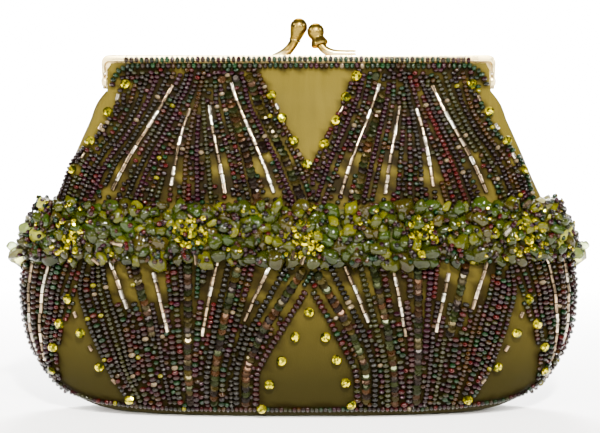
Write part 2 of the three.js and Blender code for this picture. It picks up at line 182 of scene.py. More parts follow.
def make_grain():
    group, given, result = new_group("grain", {"Scale": 900, "Pits": 0.4}, ["Height"])
    nodes, links = group.nodes, group.links
    fine = nodes.new("ShaderNodeTexNoise")
    fine.inputs["Detail"].default_value = 3
    pits = nodes.new("ShaderNodeTexVoronoi")
    mixed = nodes.new("ShaderNodeMath")
    mixed.operation = "MULTIPLY_ADD"
    for texture in (fine, pits):
        links.new(given.outputs["Vector"], texture.inputs["Vector"])
        links.new(given.outputs["Scale"], texture.inputs["Scale"])
    links.new(pits.outputs["Distance"], mixed.inputs[0])
    links.new(given.outputs["Pits"], mixed.inputs[1])
    links.new(fine.outputs["Fac"], mixed.inputs[2])
    links.new(mixed.outputs["Value"], result.inputs["Height"])
    return group


mottle_group = make_mottle()
grain_group = make_grain()
print("node groups:", mottle_group.name, grain_group.name)

# %% [markdown]
# ## Writing a material
# A small class keeps the node code short. It holds the tree and its Principled BSDF, and has a method for
# each thing that the materials below do: set a constant, use a shared effect, add a bump.

# %% Material writer
class Finish:
    """A material with one Principled BSDF, written step by step."""

    def __init__(self, name, base, **constants):
        self.material = bpy.data.materials.new(name)
        self.material.use_nodes = True
        self.nodes = self.material.node_tree.nodes
        self.links = self.material.node_tree.links
        self.shader = self.nodes["Principled BSDF"]
        self.shader.inputs["Base Color"].default_value = base
        for label, value in constants.items():
            self.shader.inputs[label.replace("_", " ")].default_value = value
        self.place = self.nodes.new("ShaderNodeTexCoord").outputs["Object"]

    def node(self, kind, **settings):
        made = self.nodes.new(kind)
        for label, value in settings.items():
            setattr(made, label, value)
        return made

    def effect(self, group, vector=None, **values):
        """A shared group, fed with values. Gives back its one output."""
        made = self.node("ShaderNodeGroup", node_tree=group)
        for label, value in values.items():
            made.inputs[label].default_value = value
        self.links.new(vector or self.place, made.inputs["Vector"])
        return made.outputs[0]

    def mix(self, factor, first, second):
        """A colour between two, which are colours or sockets."""
        made = self.node("ShaderNodeMix", data_type="RGBA")
        self.feed(factor, made.inputs["Factor"])
        self.feed(first, made.inputs[6])
        self.feed(second, made.inputs[7])
        return made.outputs[2]

    def feed(self, value, socket):
        if isinstance(value, bpy.types.NodeSocket):
            self.links.new(value, socket)
        else:
            socket.default_value = value

    def to(self, label, value):
        self.feed(value, self.shader.inputs[label])

    def bump(self, height, depth, strength=1.0):
        made = self.node("ShaderNodeBump")
        made.inputs["Strength"].default_value = strength
        made.inputs["Distance"].default_value = depth
        self.links.new(height, made.inputs["Height"])
        self.links.new(made.outputs["Normal"], self.shader.inputs["Normal"])


print("material writer ready")

# %% [markdown]
# ## Satin
# Satin looks smooth because its threads float over many others. Close up it is a run of very fine parallel
# threads, and from further away it has a soft, slightly streaky shine: the lighter streaks in its colour are
# painted sheen, and the same pattern varies its roughness. The threads follow the cloth, so the pattern
# reads the bag's own UV map, laid out in metres, and not its place in space.

# %% Satin material
SATIN = colour(0.047, 0.0355, 0.0042)
SATIN_SHADE = colour(0.029, 0.022, 0.003)
# Painted sheen: the lighter streaks of the satin's colour.
SATIN_PAINTED_SHEEN = colour(0.062, 0.047, 0.007)
# Painted shade: the satin's colour darkens towards the bottom, between the two heights below.
SATIN_PAINTED_DARK_BELOW = colour(0.0105, 0.0085, 0.0018)
# Dark thread and painted shade, where beads cover the cloth.
THREAD_AND_SHADE_UNDER_BEADS = colour(0.005, 0.0033, 0.0005)
PAINTED_SHADE_STARTS = 0.105
PAINTED_SHADE_FULL = 0.015
THREADS_PER_METRE = 4200
STREAKS_PER_METRE = 260


def make_satin():
    finish = Finish("satin", SATIN, Roughness=0.6, Specular_IOR_Level=0.015)
    uv = finish.node("ShaderNodeUVMap", uv_map="cloth").outputs["UV"]
    streaks_at = finish.node("ShaderNodeMapping")
    streaks_at.inputs["Scale"].default_value = (STREAKS_PER_METRE, STREAKS_PER_METRE / 12, 1)
    finish.links.new(uv, streaks_at.inputs["Vector"])
    streaks = finish.effect(mottle_group, streaks_at.outputs["Vector"], Scale=1, Low=0, High=1)
    clouds = finish.effect(mottle_group, Scale=28, Low=0, High=0.55)
    # Painted sheen: lighter streaks along the weave.
    with_painted_sheen = finish.mix(streaks, SATIN, SATIN_PAINTED_SHEEN)
    bare = finish.mix(clouds, with_painted_sheen, SATIN_SHADE)
    # Painted shade: the colour darkens from 105 mm down to 15 mm, as if lit from above.
    height = finish.node("ShaderNodeSeparateXYZ")
    finish.links.new(finish.place, height.inputs["Vector"])
    low = finish.node("ShaderNodeMapRange")
    low.inputs["From Min"].default_value = PAINTED_SHADE_STARTS
    low.inputs["From Max"].default_value = PAINTED_SHADE_FULL
    finish.links.new(height.outputs["Z"], low.inputs["Value"])
    with_painted_dark_below = finish.mix(low.outputs["Result"], bare, SATIN_PAINTED_DARK_BELOW)
    # Dark thread and painted shade, where beads are near.
    thread_and_shade = finish.node("ShaderNodeAttribute", attribute_name="thread_and_shade")
    finish.to("Base Color", finish.mix(thread_and_shade.outputs["Fac"], with_painted_dark_below, THREAD_AND_SHADE_UNDER_BEADS))
    sheen = finish.effect(mottle_group, streaks_at.outputs["Vector"], Scale=1, Low=0.5, High=0.66)
    finish.to("Roughness", sheen)
    threads_at = finish.node("ShaderNodeMapping")
    threads_at.inputs["Scale"].default_value = (THREADS_PER_METRE, THREADS_PER_METRE / 5, 1)
    finish.links.new(uv, threads_at.inputs["Vector"])
    threads = finish.effect(grain_group, threads_at.outputs["Vector"], Scale=1, Pits=0.5)
    finish.bump(threads, 0.06 * MM, 0.5)
    return finish.material


satin = make_satin()
print("made", satin.name)

# %% [markdown]
# ## The satin pouch
# The construction model has the pouch as a faceted hollow body. The real one is soft: smooth over the
# belly, gathered where it is sewn to the frame, and a little uneven everywhere. A flat grid is wrapped
# round the construction body by casting rays at it from outside. This keeps the size, gives clean square
# faces, and gives each point two cloth coordinates for the weave. The gathers are then pushed in, the
# shoulders are drawn out to the legs of the frame, and Solidify gives the cloth its thickness on the
# inside.

# %% Read the construction body
def tree_of(node):
    """A search tree of a construction node, from a merged copy."""
    form = bmesh.new()
    form.from_mesh(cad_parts[node].data)
    bmesh.ops.remove_doubles(form, verts=form.verts, dist=0.001 * MM)
    tree = BVHTree.FromBMesh(form)
    form.free()
    return tree


bag_low, bag_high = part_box("satin_bag")
CLOTH_TOP = bag_high.z
CLOTH_WALL = 1.8 * MM
CAST_FROM = 0.4
SEAM_END = 134 * MM
MOUTH_LAYER = 4.9 * MM
bag_tree = tree_of("satin_bag")


def reach(direction, z, sideways=0.0):
    """How far the construction body's outside is from the upright axis, in a direction, at a height."""
    start = Vector((0, -sideways, z)) + direction * CAST_FROM
    hit = bag_tree.ray_cast(start, -direction)[0]
    return (hit - Vector((0, -sideways, z))).length


def ring_point(turn, z):
    """The outside of the construction body at a turn, in radians from the right seam to the front."""
    open_mouth = z > SEAM_END
    wide = reach(Vector((1, 0, 0)), z, MOUTH_LAYER if open_mouth else 0.0)
    deep = reach(Vector((0, -1, 0)), z)
    direction = Vector((wide * math.cos(turn), -deep * math.sin(turn), 0)).normalized()
    if open_mouth:
        side = wide / max(1e-9, abs(direction.x))
        front = deep / max(1e-9, abs(direction.y))
        return Vector((0, 0, z)) + direction * min(side, front)
    return Vector((0, 0, z)) + direction * reach(direction, z)


print("cloth from", round(bag_low.z / MM, 1), "to", round(CLOTH_TOP / MM, 1), "mm")

# %% Wrap the grid round it
COLUMNS = 144
ROWS = 60
BASE_SHARE = 0.08
BELLY_SHARE = 0.42
BELLY_HEIGHT = 52 * MM
LOWEST_CAST = 0.3 * MM
SOFTENING_ROUNDS = 3
GIRTH = 500 * MM
PROFILE_LENGTH = 190 * MM
SLIT = 3.6 * MM
SHOULDER_FROM = 60 * MM
SHOULDER_WIDTH = 16 * MM
SHOULDER_LOW = 123 * MM
SHOULDER_HEIGHT = 12 * MM
SHOULDER_PULL = 1.7 * MM


def cloth_height(share):
    """The height of a row of the wall, from 0 at the base to 1 at the mouth, closer together low down."""
    if share < BELLY_SHARE:
        return BELLY_HEIGHT * (1 - math.cos(share / BELLY_SHARE * math.pi / 2))
    return BELLY_HEIGHT + (CLOTH_TOP - BELLY_HEIGHT) * (share - BELLY_SHARE) / (1 - BELLY_SHARE)


def wrap(u, v):
    turn = 2 * math.pi * u
    if v <= BASE_SHARE:
        edge = ring_point(turn, LOWEST_CAST)
        edge.z = 0
        return edge * (v / BASE_SHARE)
    z = cloth_height((v - BASE_SHARE) / (1 - BASE_SHARE))
    return ring_point(turn, min(max(z, LOWEST_CAST), CLOTH_TOP - LOWEST_CAST))


def fill_out(point):
    """Pulls the cloth out sideways to the legs of the frame, from the shoulder up."""
    outer = min(1.0, max(0.0, (abs(point.x) - SHOULDER_FROM) / SHOULDER_WIDTH))
    upper = min(1.0, max(0.0, (point.z - SHOULDER_LOW) / SHOULDER_HEIGHT))
    return Vector((math.copysign(SHOULDER_PULL * outer * upper, point.x), 0, 0))


def gather(point, normal):
    """Pleats below the frame and slack over the belly, along the normal, the same after half a turn."""
    x, y = (point.x, point.y) if point.y <= 0 else (-point.x, -point.y)
    turn = math.atan2(y * 4, x)
    below_frame = max(0.0, CLOTH_TOP - point.z)
    pleats = math.sin(turn * 34 + 5 * noise.noise(Vector((turn * 2, 0, 1))))
    pleats *= math.exp(-((below_frame - 12 * MM) / (13 * MM)) ** 2)
    slack = noise.noise(Vector((abs(x) / 0.028, point.z / 0.034, 3)))
    held = min(1.0, below_frame / (8 * MM)) * min(1.0, point.z / (12 * MM))
    return normal * held * (0.38 * MM * pleats + 0.75 * MM * slack)


def make_pouch():
    form = bmesh.new()
    layer = form.loops.layers.uv.new("cloth")
    bmesh.ops.create_grid(form, x_segments=COLUMNS, y_segments=ROWS, size=0.5)
    for face in form.faces:
        for loop in face.loops:
            spot = loop.vert.co
            loop[layer].uv = ((spot.x + 0.5) * GIRTH, (spot.y + 0.5) * PROFILE_LENGTH)
    for vert in form.verts:
        vert.co = wrap(vert.co.x + 0.5, vert.co.y + 0.5)
    bmesh.ops.remove_doubles(form, verts=form.verts, dist=0.05 * MM)
    walls = [v for v in form.verts if v.co.z > 2 * MM and not v.is_boundary]
    for _ in range(SOFTENING_ROUNDS):
        soften(form, walls, 0.5)
    bmesh.ops.recalc_face_normals(form, faces=form.faces)
    if sum(face.normal.dot(face.calc_center_median()) for face in form.faces) < 0:
        bmesh.ops.reverse_faces(form, faces=form.faces)
    form.normal_update()
    moves = [(v, gather(v.co, v.normal) + fill_out(v.co)) for v in walls]
    for vert, move in moves:
        vert.co += move
    for vert in form.verts:
        vert.co.z = max(0.0, vert.co.z)
    middles = [(face, face.calc_center_median()) for face in form.faces]
    slit = [face for face, middle in middles if middle.z > SEAM_END and abs(middle.y) < SLIT]
    bmesh.ops.delete(form, geom=slit, context="FACES")
    return form


pouch_form = make_pouch()
cloth_tree = BVHTree.FromBMesh(pouch_form)
pouch = finish_piece("satin_pouch", mesh_from(pouch_form, "satin_pouch"), satin, "satin", ["satin_bag"])
wall = pouch.modifiers.new("wall", "SOLIDIFY")
wall.thickness = CLOTH_WALL
wall.offset = -1
lowest = min(vert.co.z for vert in pouch.data.vertices)
print("pouch:", len(pouch.data.polygons), "faces, lowest", round(lowest / MM, 3))

# %% [markdown]
# ## Landing on the cloth
# Each bead is sewn to the cloth, so its place is always a point of the pouch and the direction that the
# cloth faces there. Three helpers find these: through a pixel, at a turn and a height, or nearest to a
# point.

# %% Landing helpers
def nearest_cloth(point):
    place, normal = cloth_tree.find_nearest(point)[:2]
    return place, normal


def land(px, py):
    """The cloth under a pixel. Past the outline it is the nearest cloth."""
    direction = ray_through(px, py)
    hit, normal = cloth_tree.ray_cast(eye, direction)[:2]
    if hit is None:
        beside = eye + direction * (-eye.y / direction.y)
        hit, normal = nearest_cloth(beside)
    return hit, normal


def land_at_turn(turn, z):
    return nearest_cloth(ring_point(turn, z))


def walk(places, pitch):
    """Points a pitch apart along a line of (place, normal) pairs, each with the line's direction."""
    lengths = [0.0]
    for before, after in zip(places, places[1:]):
        lengths.append(lengths[-1] + (after[0] - before[0]).length)
    spots = []
    leg = 0
    for step in range(int(lengths[-1] / pitch)):
        target = (step + 0.5) * pitch
        while lengths[leg + 1] < target:
            leg += 1
        share = (target - lengths[leg]) / max(1e-9, lengths[leg + 1] - lengths[leg])
        place = places[leg][0].lerp(places[leg + 1][0], share)
        normal = places[leg][1].lerp(places[leg + 1][1], share).normalized()
        spots.append((place, normal, (places[leg + 1][0] - places[leg][0]).normalized()))
    return spots


print("cloth under the middle of the picture:", [round(v / MM, 1) for v in land(300, 216)[0]])

# %% [markdown]
# ## Bead shapes
# A purse like this has thousands of beads, so each shape is made once, with only a few dozen faces, and
# then joined into one mesh for each fan. The hole of a bead runs along X, and Z points away from the
# cloth. Seed beads are squashed balls, bugles are short tubes, and sequins are shallow cups.

# %% Bead templates
def template(make):
    """The corners and faces of a small shape, as arrays, sorted so that every run gives the same."""
    form = bmesh.new()
    make(form)
    order = sorted(form.verts, key=lambda vert: [round(c, 5) for c in vert.co])
    number = {vert: index for index, vert in enumerate(order)}
    corners = np.array([vert.co[:] for vert in order])
    faces = sorted([[number[vert] for vert in face.verts] for face in form.faces], key=sorted)
    form.free()
    return corners, faces


ALONG_X = Matrix.Rotation(math.pi / 2, 4, "Y")


def seed_shape(form):
    bmesh.ops.create_uvsphere(form, u_segments=7, v_segments=4, radius=0.5, matrix=ALONG_X)


def tube_shape(form):
    bmesh.ops.create_cone(
        form, segments=7, radius1=0.5, radius2=0.5, depth=1, cap_ends=True, matrix=ALONG_X
    )


def sequin_shape(form):
    bmesh.ops.create_cone(form, segments=10, radius1=0.5, radius2=0.3, depth=1, cap_ends=True)


SHAPES = {
    "iris": template(seed_shape),
    "bugle": template(tube_shape),
    "sequin": template(sequin_shape),
}
print({name: len(shape[1]) for name, shape in SHAPES.items()})

# %% [markdown]
# ## Bead glass
# The dark beads have an iris finish: a thin metal film that turns garnet, aubergine, bottle green or
# bronze. Each bead gets its own tint, written to the mesh as an attribute and read by the material.
# Bugles are clear glass lined with silver, and sequins are shiny bronze-olive film.

# %% Bead materials
def make_bead_glass(name, roughness, metallic, wear, gloss_scale, specular=0.21):
    finish = Finish(name, colour(0.05, 0.03, 0.03), Metallic=metallic, Specular_IOR_Level=specular)
    tint = finish.node("ShaderNodeAttribute", attribute_name="tint")
    worn = finish.effect(mottle_group, Scale=gloss_scale, Low=0, High=wear)
    finish.to("Base Color", finish.mix(worn, tint.outputs["Color"], colour(0.003, 0.002, 0.0006)))
    dullest = roughness * 2.2
    gloss = finish.effect(mottle_group, Scale=gloss_scale, Low=roughness, High=dullest)
    finish.to("Roughness", gloss)
    return finish.material


BEAD_GLASS = {
    "iris": make_bead_glass("iris_glass", 0.07, 0.3, 0.35, 500),
    "bugle": make_bead_glass("silver_lined_glass", 0.09, 0.9, 1.0, 800, 0.6),
    "sequin": make_bead_glass("sequin_film", 0.14, 0.6, 0.4, 600, 0.15),
}
SLOTS = {"iris": "iris_beads", "bugle": "silver_beads", "sequin": "sequins"}

IRIS_TINTS = [
    (0.0180, 0.0004, 0.0004),
    (0.0070, 0.0003, 0.0022),
    (0.0003, 0.0070, 0.0009),
    (0.0120, 0.0045, 0.0002),
    (0.0030, 0.0008, 0.0008),
    (0.0060, 0.0060, 0.0004),
    (0.0080, 0.0008, 0.0008),
    (0.0020, 0.0014, 0.0004),
]
# Painted glints: a few iris beads are tinted bright yellow.
PAINTED_GLINT_TINT = (0.085, 0.075, 0.001)
PAINTED_GLINT_CHANCE = 0.007
CLEAR_TINT = (0.085, 0.062, 0.034)
CLEAR_CHANCE = 0.016
SILVER_TINTS = [(0.62, 0.49, 0.34), (0.30, 0.21, 0.12), (0.86, 0.75, 0.58), (0.16, 0.11, 0.06)]
SEQUIN_TINTS = [(0.014, 0.010, 0.001), (0.006, 0.008, 0.001), (0.016, 0.006, 0.001), (0.004, 0.002, 0.001)]
EDGING_TINTS = [
    (0.0003, 0.0090, 0.0012), (0.0006, 0.0070, 0.0012), (0.0022, 0.0060, 0.0006), (0.0012, 0.0020, 0.0010),
    (0.0080, 0.0004, 0.0018), (0.0080, 0.0030, 0.0004),
]
TINTS = {"iris": IRIS_TINTS, "bugle": SILVER_TINTS, "sequin": SEQUIN_TINTS}
print("bead materials:", [m.name for m in BEAD_GLASS.values()])

# %% [markdown]
# ## Sewing beads on
# A bead is kept only where there is room for it, so strands that run together simply end, as real ones do.
# The places already taken are kept in a coarse three-dimensional grid, which makes the search quick. Every
# strand sewn on the front is repeated on the back, half a turn round.

# %% Keeping room between beads
Bead = namedtuple("Bead", "place along normal size tint")
CELL = 4 * MM
CROWDING = 0.78
luck = random.Random(7)
taken = {}
sewn = {}


def cell_of(point):
    return tuple(int(math.floor(c / CELL)) for c in point)


def neighbours(point):
    """What was taken in the cells round a point."""
    home = cell_of(point)
    for steps in product((-1, 0, 1), repeat=3):
        yield from taken.get(tuple(c + step for c, step in zip(home, steps)), ())


def has_room(point, radius, strand, crowding=CROWDING):
    """Whether a bead fits. Beads of one strand don't mind each other, unless they are filling."""
    for other, size, owner in neighbours(point):
        if owner == strand and strand[-1] != "fill":
            continue
        if (other - point).length < crowding * (radius + size):
            return False
    return True


def take(point, radius, strand):
    taken.setdefault(cell_of(point), []).append((point.copy(), radius, strand))


def vary(tint, amount):
    light = 1 + luck.uniform(-amount, amount)
    return tuple(min(1.0, max(0.0, c * light)) for c in tint)


print("crowding factor", CROWDING)

# %% Bead kinds
Kind = namedtuple("Kind", "shape length width height pitch")
KINDS = {
    "small": Kind("iris", 1.85, 2.45, 2.2, 1.82),
    "large": Kind("iris", 2.1, 3.15, 2.8, 2.15),
    "edging": Kind("iris", 2.0, 2.9, 2.4, 2.1),
    "seam": Kind("iris", 2.4, 3.2, 3.4, 2.4),
    "bugle": Kind("bugle", 3.7, 1.8, 1.7, 4.2),
    "tube": Kind("bugle", 2.6, 1.7, 1.7, 2.8),
    "sequin": Kind("sequin", 3.9, 3.9, 0.55, 2.2),
}
SEQUIN_TILT = math.radians(24)
SEQUIN_LIFT = 1.1 * MM
TINT_SPREAD = 0.45
SIZE_SPREAD = (0.93, 1.07)


def sew_bead(seat, normal, along, kind, piece, strand, tint=None, crowding=CROWDING):
    """Sews one bead on, if there is room. Says whether it did."""
    radius = kind.width / 2 * MM
    probes = [seat]
    if kind.length > 2 * kind.width:
        third = along * kind.length / 3 * MM
        probes = [seat - third, seat, seat + third]
    if not all(has_room(p, radius, strand, crowding) for p in probes):
        return False
    for probe in probes:
        take(probe, radius, strand)
    lift = kind.height / 2 * MM
    if kind.shape == "sequin":
        tilt = SEQUIN_TILT * luck.uniform(0.5, 1.6)
        across = normal.cross(along) * luck.uniform(-0.25, 0.25)
        along = (along * math.cos(tilt) + normal * math.sin(tilt)).normalized()
        normal = (normal + across).normalized()
        lift = SEQUIN_LIFT
    size = tuple(s * MM * luck.uniform(*SIZE_SPREAD) for s in (kind.length, kind.width, kind.height))
    choices = EDGING_TINTS if kind == KINDS["edging"] else TINTS[kind.shape]
    own_tint = vary(tint or luck.choice(choices), TINT_SPREAD)
    chance = luck.random()
    # A few beads get the bright yellow of a painted glint.
    if kind.shape == "iris" and chance < PAINTED_GLINT_CHANCE:
        own_tint = PAINTED_GLINT_TINT
    elif kind.shape == "iris" and chance < PAINTED_GLINT_CHANCE + CLEAR_CHANCE:
        own_tint = CLEAR_TINT
    bead = Bead(seat + normal * lift, along, normal, size, own_tint)
    sewn.setdefault((piece, kind.shape), []).append(bead)
    return True


def sew(places, kind_name, piece, strand, tint=None, wobble=0.12):
    """Sews beads of a kind along a line of (place, normal) pairs, where there is room."""
    kind = KINDS[kind_name]
    count = 0
    for place, normal, along in walk(places, kind.pitch * MM):
        across = normal.cross(along).normalized()
        seat = place + across * luck.uniform(-wobble, wobble) * MM
        count += sew_bead(seat, normal, along, kind, piece, strand, tint)
    return count


print("kinds:", ", ".join(KINDS))

# %% [markdown]
# ## Places that are already taken
# The edge crystals and the rosettes have their places from the construction model. Beads keep clear of
# the crystals, so those places are entered first. Each stone's own box gives its middle.

# %% Reserve the stones
def middle_of(node):
    low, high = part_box(node)
    return (low + high) / 2


CRYSTAL_ROOM = 1.9 * MM
crystal_nodes = sorted(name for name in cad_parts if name.startswith("crystal_"))
rosette_nodes = sorted(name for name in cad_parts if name.startswith("rosette_"))
for name in crystal_nodes:
    take(nearest_cloth(middle_of(name))[0], CRYSTAL_ROOM, "stones")
print(len(crystal_nodes), "edge crystals,", len(rosette_nodes), "rosettes")

# %% [markdown]
# ## Edging
# Two rows of seed beads cover the stitches where the cloth meets the frame, mostly in bottle green. One row
# follows the seam along the bottom, and three rows of larger beads cover each side seam below the belt.
# Single silver tubes sit between the crystals of each window edge.

# %% Sew the edging
EDGING = [
    (112, 87), (114, 79), (119, 71), (127, 66), (300, 65.5), (470, 66), (479, 71), (484, 79), (486, 87),
]
RING_ROW = [(124, 60), (300, 59), (474, 60)]
SIDE_SEAM_TURN = math.radians(7)
SIDE_SEAM_TOP = 66 * MM
SIDE_SEAM_LOW = 22 * MM
SEAM_ROW = [(47, 361), (52, 371), (60, 381), (74, 391), (97, 399), (136, 404), (175, 407), (298, 408)]
SEAM_MIRROR_SUM = 597


def pixel_path(corners, step=2.0):
    pixels = []
    for (x0, y0), (x1, y1) in zip(corners, corners[1:]):
        count = max(1, int(math.hypot(x1 - x0, y1 - y0) / step))
        pixels += [(x0 + (x1 - x0) * i / count, y0 + (y1 - y0) * i / count) for i in range(count)]
    return pixels + [corners[-1]]


sew([land(x, y) for x, y in pixel_path(EDGING)], "edging", "frame_edging", ("edging", 0))
rim_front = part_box("frame_front")[0].y
rim_places = []
for x, y in pixel_path(RING_ROW):
    direction = ray_through(x, y)
    rim_places.append((eye + direction * ((rim_front - eye.y) / direction.y), Vector((0, -1, 0))))
sew(rim_places, "edging", "frame_edging", ("edging", "rings"))

seam_row = SEAM_ROW + [(SEAM_MIRROR_SUM - x, y) for x, y in reversed(SEAM_ROW)]
seam_beads = sew([land(x, y) for x, y in pixel_path(seam_row)], "small", "seam_edging", "seam")
for turn in (0.0, math.pi - SIDE_SEAM_TURN, SIDE_SEAM_TURN):
    side_seam = [land_at_turn(turn, z) for z in np.arange(SIDE_SEAM_TOP, SIDE_SEAM_LOW, -1.5 * MM)]
    kind = "seam" if turn == 0 else "large"
    seam_beads += sew(side_seam, kind, "seam_edging", ("seam", turn))
print("seam row:", seam_beads, "beads")

for name in crystal_nodes:
    line, number = name.rsplit("_", 1)
    following = f"{line}_{int(number) + 1}"
    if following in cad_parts:
        here = middle_of(name)
        there = middle_of(following)
        gap = [nearest_cloth(here.lerp(there, share)) for share in (0.38, 0.44, 0.5, 0.56, 0.62)]
        sew(gap, "tube", "window_edges", name)
print("window edges:", len(sewn[("window_edges", "bugle")]), "tubes")

# %% [markdown]
# ## The fans of strands
# Each fan is charted by its guide strands. A row of the chart names the kind of bead, the heights where the
# strand begins and ends, and where it crosses a few fixed heights, all in pixels of the picture. Filler
# strands run between two guides. The right-hand fans mirror the left-hand ones, about an axis that
# drifts a little, as the hand-sewn original does.

# %% The charts
Guide = namedtuple("Guide", "kind top low crossings")
UPPER_HEIGHTS = (69, 104, 130, 160, 206)
UPPER_GUIDES = [
    Guide("small", 70, 206, (124, 119, 105, 74, 58)),
    Guide("bugle", 85, 198, (181, 163, 147, 128, 105)),
    Guide("small", 70, 206, (200, 189, 178, 164, 147)),
    Guide("bugle", 109, 196, (203, 192, 183, 176, 168)),
    Guide("small", 70, 206, (205, 197, 191, 186, 184)),
    Guide("small", 70, 206, (207, 203, 205, 208, 212)),
    Guide("bugle", 106, 196, (211, 209, 213, 219, 227)),
    Guide("small", 70, 206, (215, 216, 222, 230, 241)),
    Guide("sequin", 92, 206, (221, 231, 239, 248, 259)),
    Guide("bugle", 82, 199, (227, 238, 249, 262, 279)),
    Guide("small", 70, 206, (241, 248, 261, 276, 295)),
    Guide("small", 73, 182, (256, 272, 286, 302, 318)),
]
LOWER_HEIGHTS = (250, 290, 330, 370, 408)
LOWER_GUIDES = [
    Guide("small", 255, 406, (88, 80, 92, 110, 136)),
    Guide("bugle", 259, 312, (107, 121, 135, 142, 155)),
    Guide("large", 256, 406, (117, 130, 145, 151, 162)),
    Guide("sequin", 262, 340, (132, 141, 152, 158, 168)),
    Guide("small", 258, 406, (140, 150, 158, 164, 172)),
    Guide("bugle", 272, 334, (149, 158, 168, 172, 180)),
    Guide("large", 253, 406, (172, 176, 179, 182, 186)),
    Guide("sequin", 255, 406, (188, 188, 188, 188, 191)),
    Guide("large", 251, 406, (206, 202, 198, 195, 197)),
    Guide("bugle", 256, 342, (220, 211, 203, 200, 201)),
    Guide("large", 256, 406, (232, 223, 215, 207, 207)),
    Guide("sequin", 260, 406, (243, 232, 222, 215, 214)),
    Guide("large", 256, 406, (257, 246, 234, 223, 222)),
    Guide("bugle", 255, 330, (278, 258, 240, 229, 229)),
    Guide("large", 262, 406, (296, 273, 250, 236, 237)),
    Guide("sequin", 268, 406, (316, 290, 263, 246, 246)),
    Guide("large", 289, 406, (332, 306, 281, 257, 256)),
]
MIRROR_SUM = 599
MIRROR_DRIFT = 20 / 188
DRIFT_FROM = 122
STEP_PX = 2.0
SMOOTHING = 9


def across_the_front(px):
    return MIRROR_SUM - px + (px - DRIFT_FROM) * MIRROR_DRIFT


def strand_pixels(heights, crossings, top, low):
    """A smooth line of pixels through a strand's crossings."""
    rows = np.arange(heights[0] - 20, heights[-1] + 20, STEP_PX)
    columns = np.interp(rows, heights, crossings)
    smooth = np.convolve(np.pad(columns, SMOOTHING // 2, "edge"), np.ones(SMOOTHING) / SMOOTHING, "valid")
    return [(x, y) for x, y in zip(smooth, rows) if top <= y <= low]


def sew_strand(heights, crossings, top, low, kind, piece, strand, mirrored, tint=None):
    pixels = strand_pixels(heights, crossings, top, low)
    if len(pixels) < 3:
        return 0
    if mirrored:
        pixels = [(across_the_front(x), y) for x, y in pixels]
    return sew([land(x, y) for x, y in pixels], kind, piece, strand, tint)


print(len(UPPER_GUIDES), "upper and", len(LOWER_GUIDES), "lower guides")

# %% Sew the fans
FILLER_SPACING = 5.2
BARE_HEIGHTS = {UPPER_HEIGHTS: (158, 204), LOWER_HEIGHTS: (262, 300)}
BARE_OFFSET = 5.0
BARE_ROOM = 0.9 * MM
FILLER_KINDS = ["small", "small", "small", "sequin", "small", "small"]
LOWER_FILLER_SPACING = 8.5
LOWER_FILLER_KINDS = ["small", "large"]
GUIDE_TINT_CHANCE = 0.5
FILLER_TINT_CHANCE = 0.6


def filler_order(count):
    """The middle strand first, so that it has the longest run."""
    return sorted(range(1, count), key=lambda j: abs(j - count / 2))


def keep_bare(heights, guides, mirrored):
    """Keeps the cloth bare along both sides of the bugles, near the belt."""
    for guide in guides:
        if guide.kind == "bugle":
            for y in range(*BARE_HEIGHTS[heights], 3):
                x = np.interp(y, heights, guide.crossings)
                for offset in (-BARE_OFFSET, BARE_OFFSET):
                    px = x + offset
                    take(land(across_the_front(px) if mirrored else px, y)[0], BARE_ROOM, "bare")


def strand_tint(wanted, chance):
    """One tint for a whole strand, by chance, or none, so that its beads differ."""
    if wanted and luck.random() < chance:
        return luck.choice(IRIS_TINTS)
    return None


def sew_fan(piece, heights, guides, mirrored, filler_kinds, spacing):
    """The guides first, in order of their kinds, then the filler strands between them."""
    total = 0
    for rank in ("bugle", "sequin", "large", "small"):
        if rank == "sequin":
            keep_bare(heights, guides, mirrored)
        for index, guide in enumerate(guides):
            if guide.kind == rank:
                strand = (piece, index)
                tint = strand_tint(rank in ("large", "small"), GUIDE_TINT_CHANCE)
                total += sew_strand(
                    heights, guide.crossings, guide.top, guide.low, rank, piece, strand, mirrored, tint
                )
    for index, (left, right) in enumerate(zip(guides, guides[1:])):
        widest = max(b - a for a, b in zip(left.crossings, right.crossings))
        count = max(1, math.ceil(widest / spacing))
        for j in filler_order(count):
            crossings = [a + (b - a) * j / count for a, b in zip(left.crossings, right.crossings)]
            kind = luck.choice(filler_kinds)
            tint = strand_tint(kind == "small", FILLER_TINT_CHANCE)
            top = heights[0] + luck.uniform(1, 6)
            total += sew_strand(
                heights, crossings, top, heights[-1] - 2, kind, piece, (piece, index, j), mirrored, tint
            )
    return total


FILL_STEP = 2.6
UPPER_FILL_TOP = 70
LOWER_FILL_TOP = 322
LOWER_RAGGED = 50
FILL_CROWDING = 0.7


def fill_bead(place, normal, along, piece):
    """One small filling bead, if there is room."""
    return sew_bead(place, normal, along, KINDS["small"], piece, (piece, "fill"), None, FILL_CROWDING)


def fill_fan(piece, heights, guides, mirrored, top, ragged):
    """Small beads in what room is left between the strands, from a height down."""
    count = 0
    for y in np.arange(top - ragged / 2, heights[-1], FILL_STEP):
        edges = [np.interp(y, heights, guide.crossings) for guide in guides]
        lower = [np.interp(y + 3, heights, guide.crossings) for guide in guides]
        stops = np.arange(edges[0], edges[-1], FILL_STEP)
        for x, x_below in zip(stops, np.interp(stops, edges, lower)):
            jitter = luck.uniform(-1, 1)
            if y < top + ragged * noise.noise(Vector((x / 9, top, 0))):
                continue
            pixels = [(x + jitter, y), (x_below + jitter, y + 3)]
            if mirrored:
                pixels = [(across_the_front(px), py) for px, py in pixels]
            (place, normal), (below, _) = [land(px, py) for px, py in pixels]
            along = (below - place).normalized()
            count += fill_bead(place, normal, along, piece)
    return count


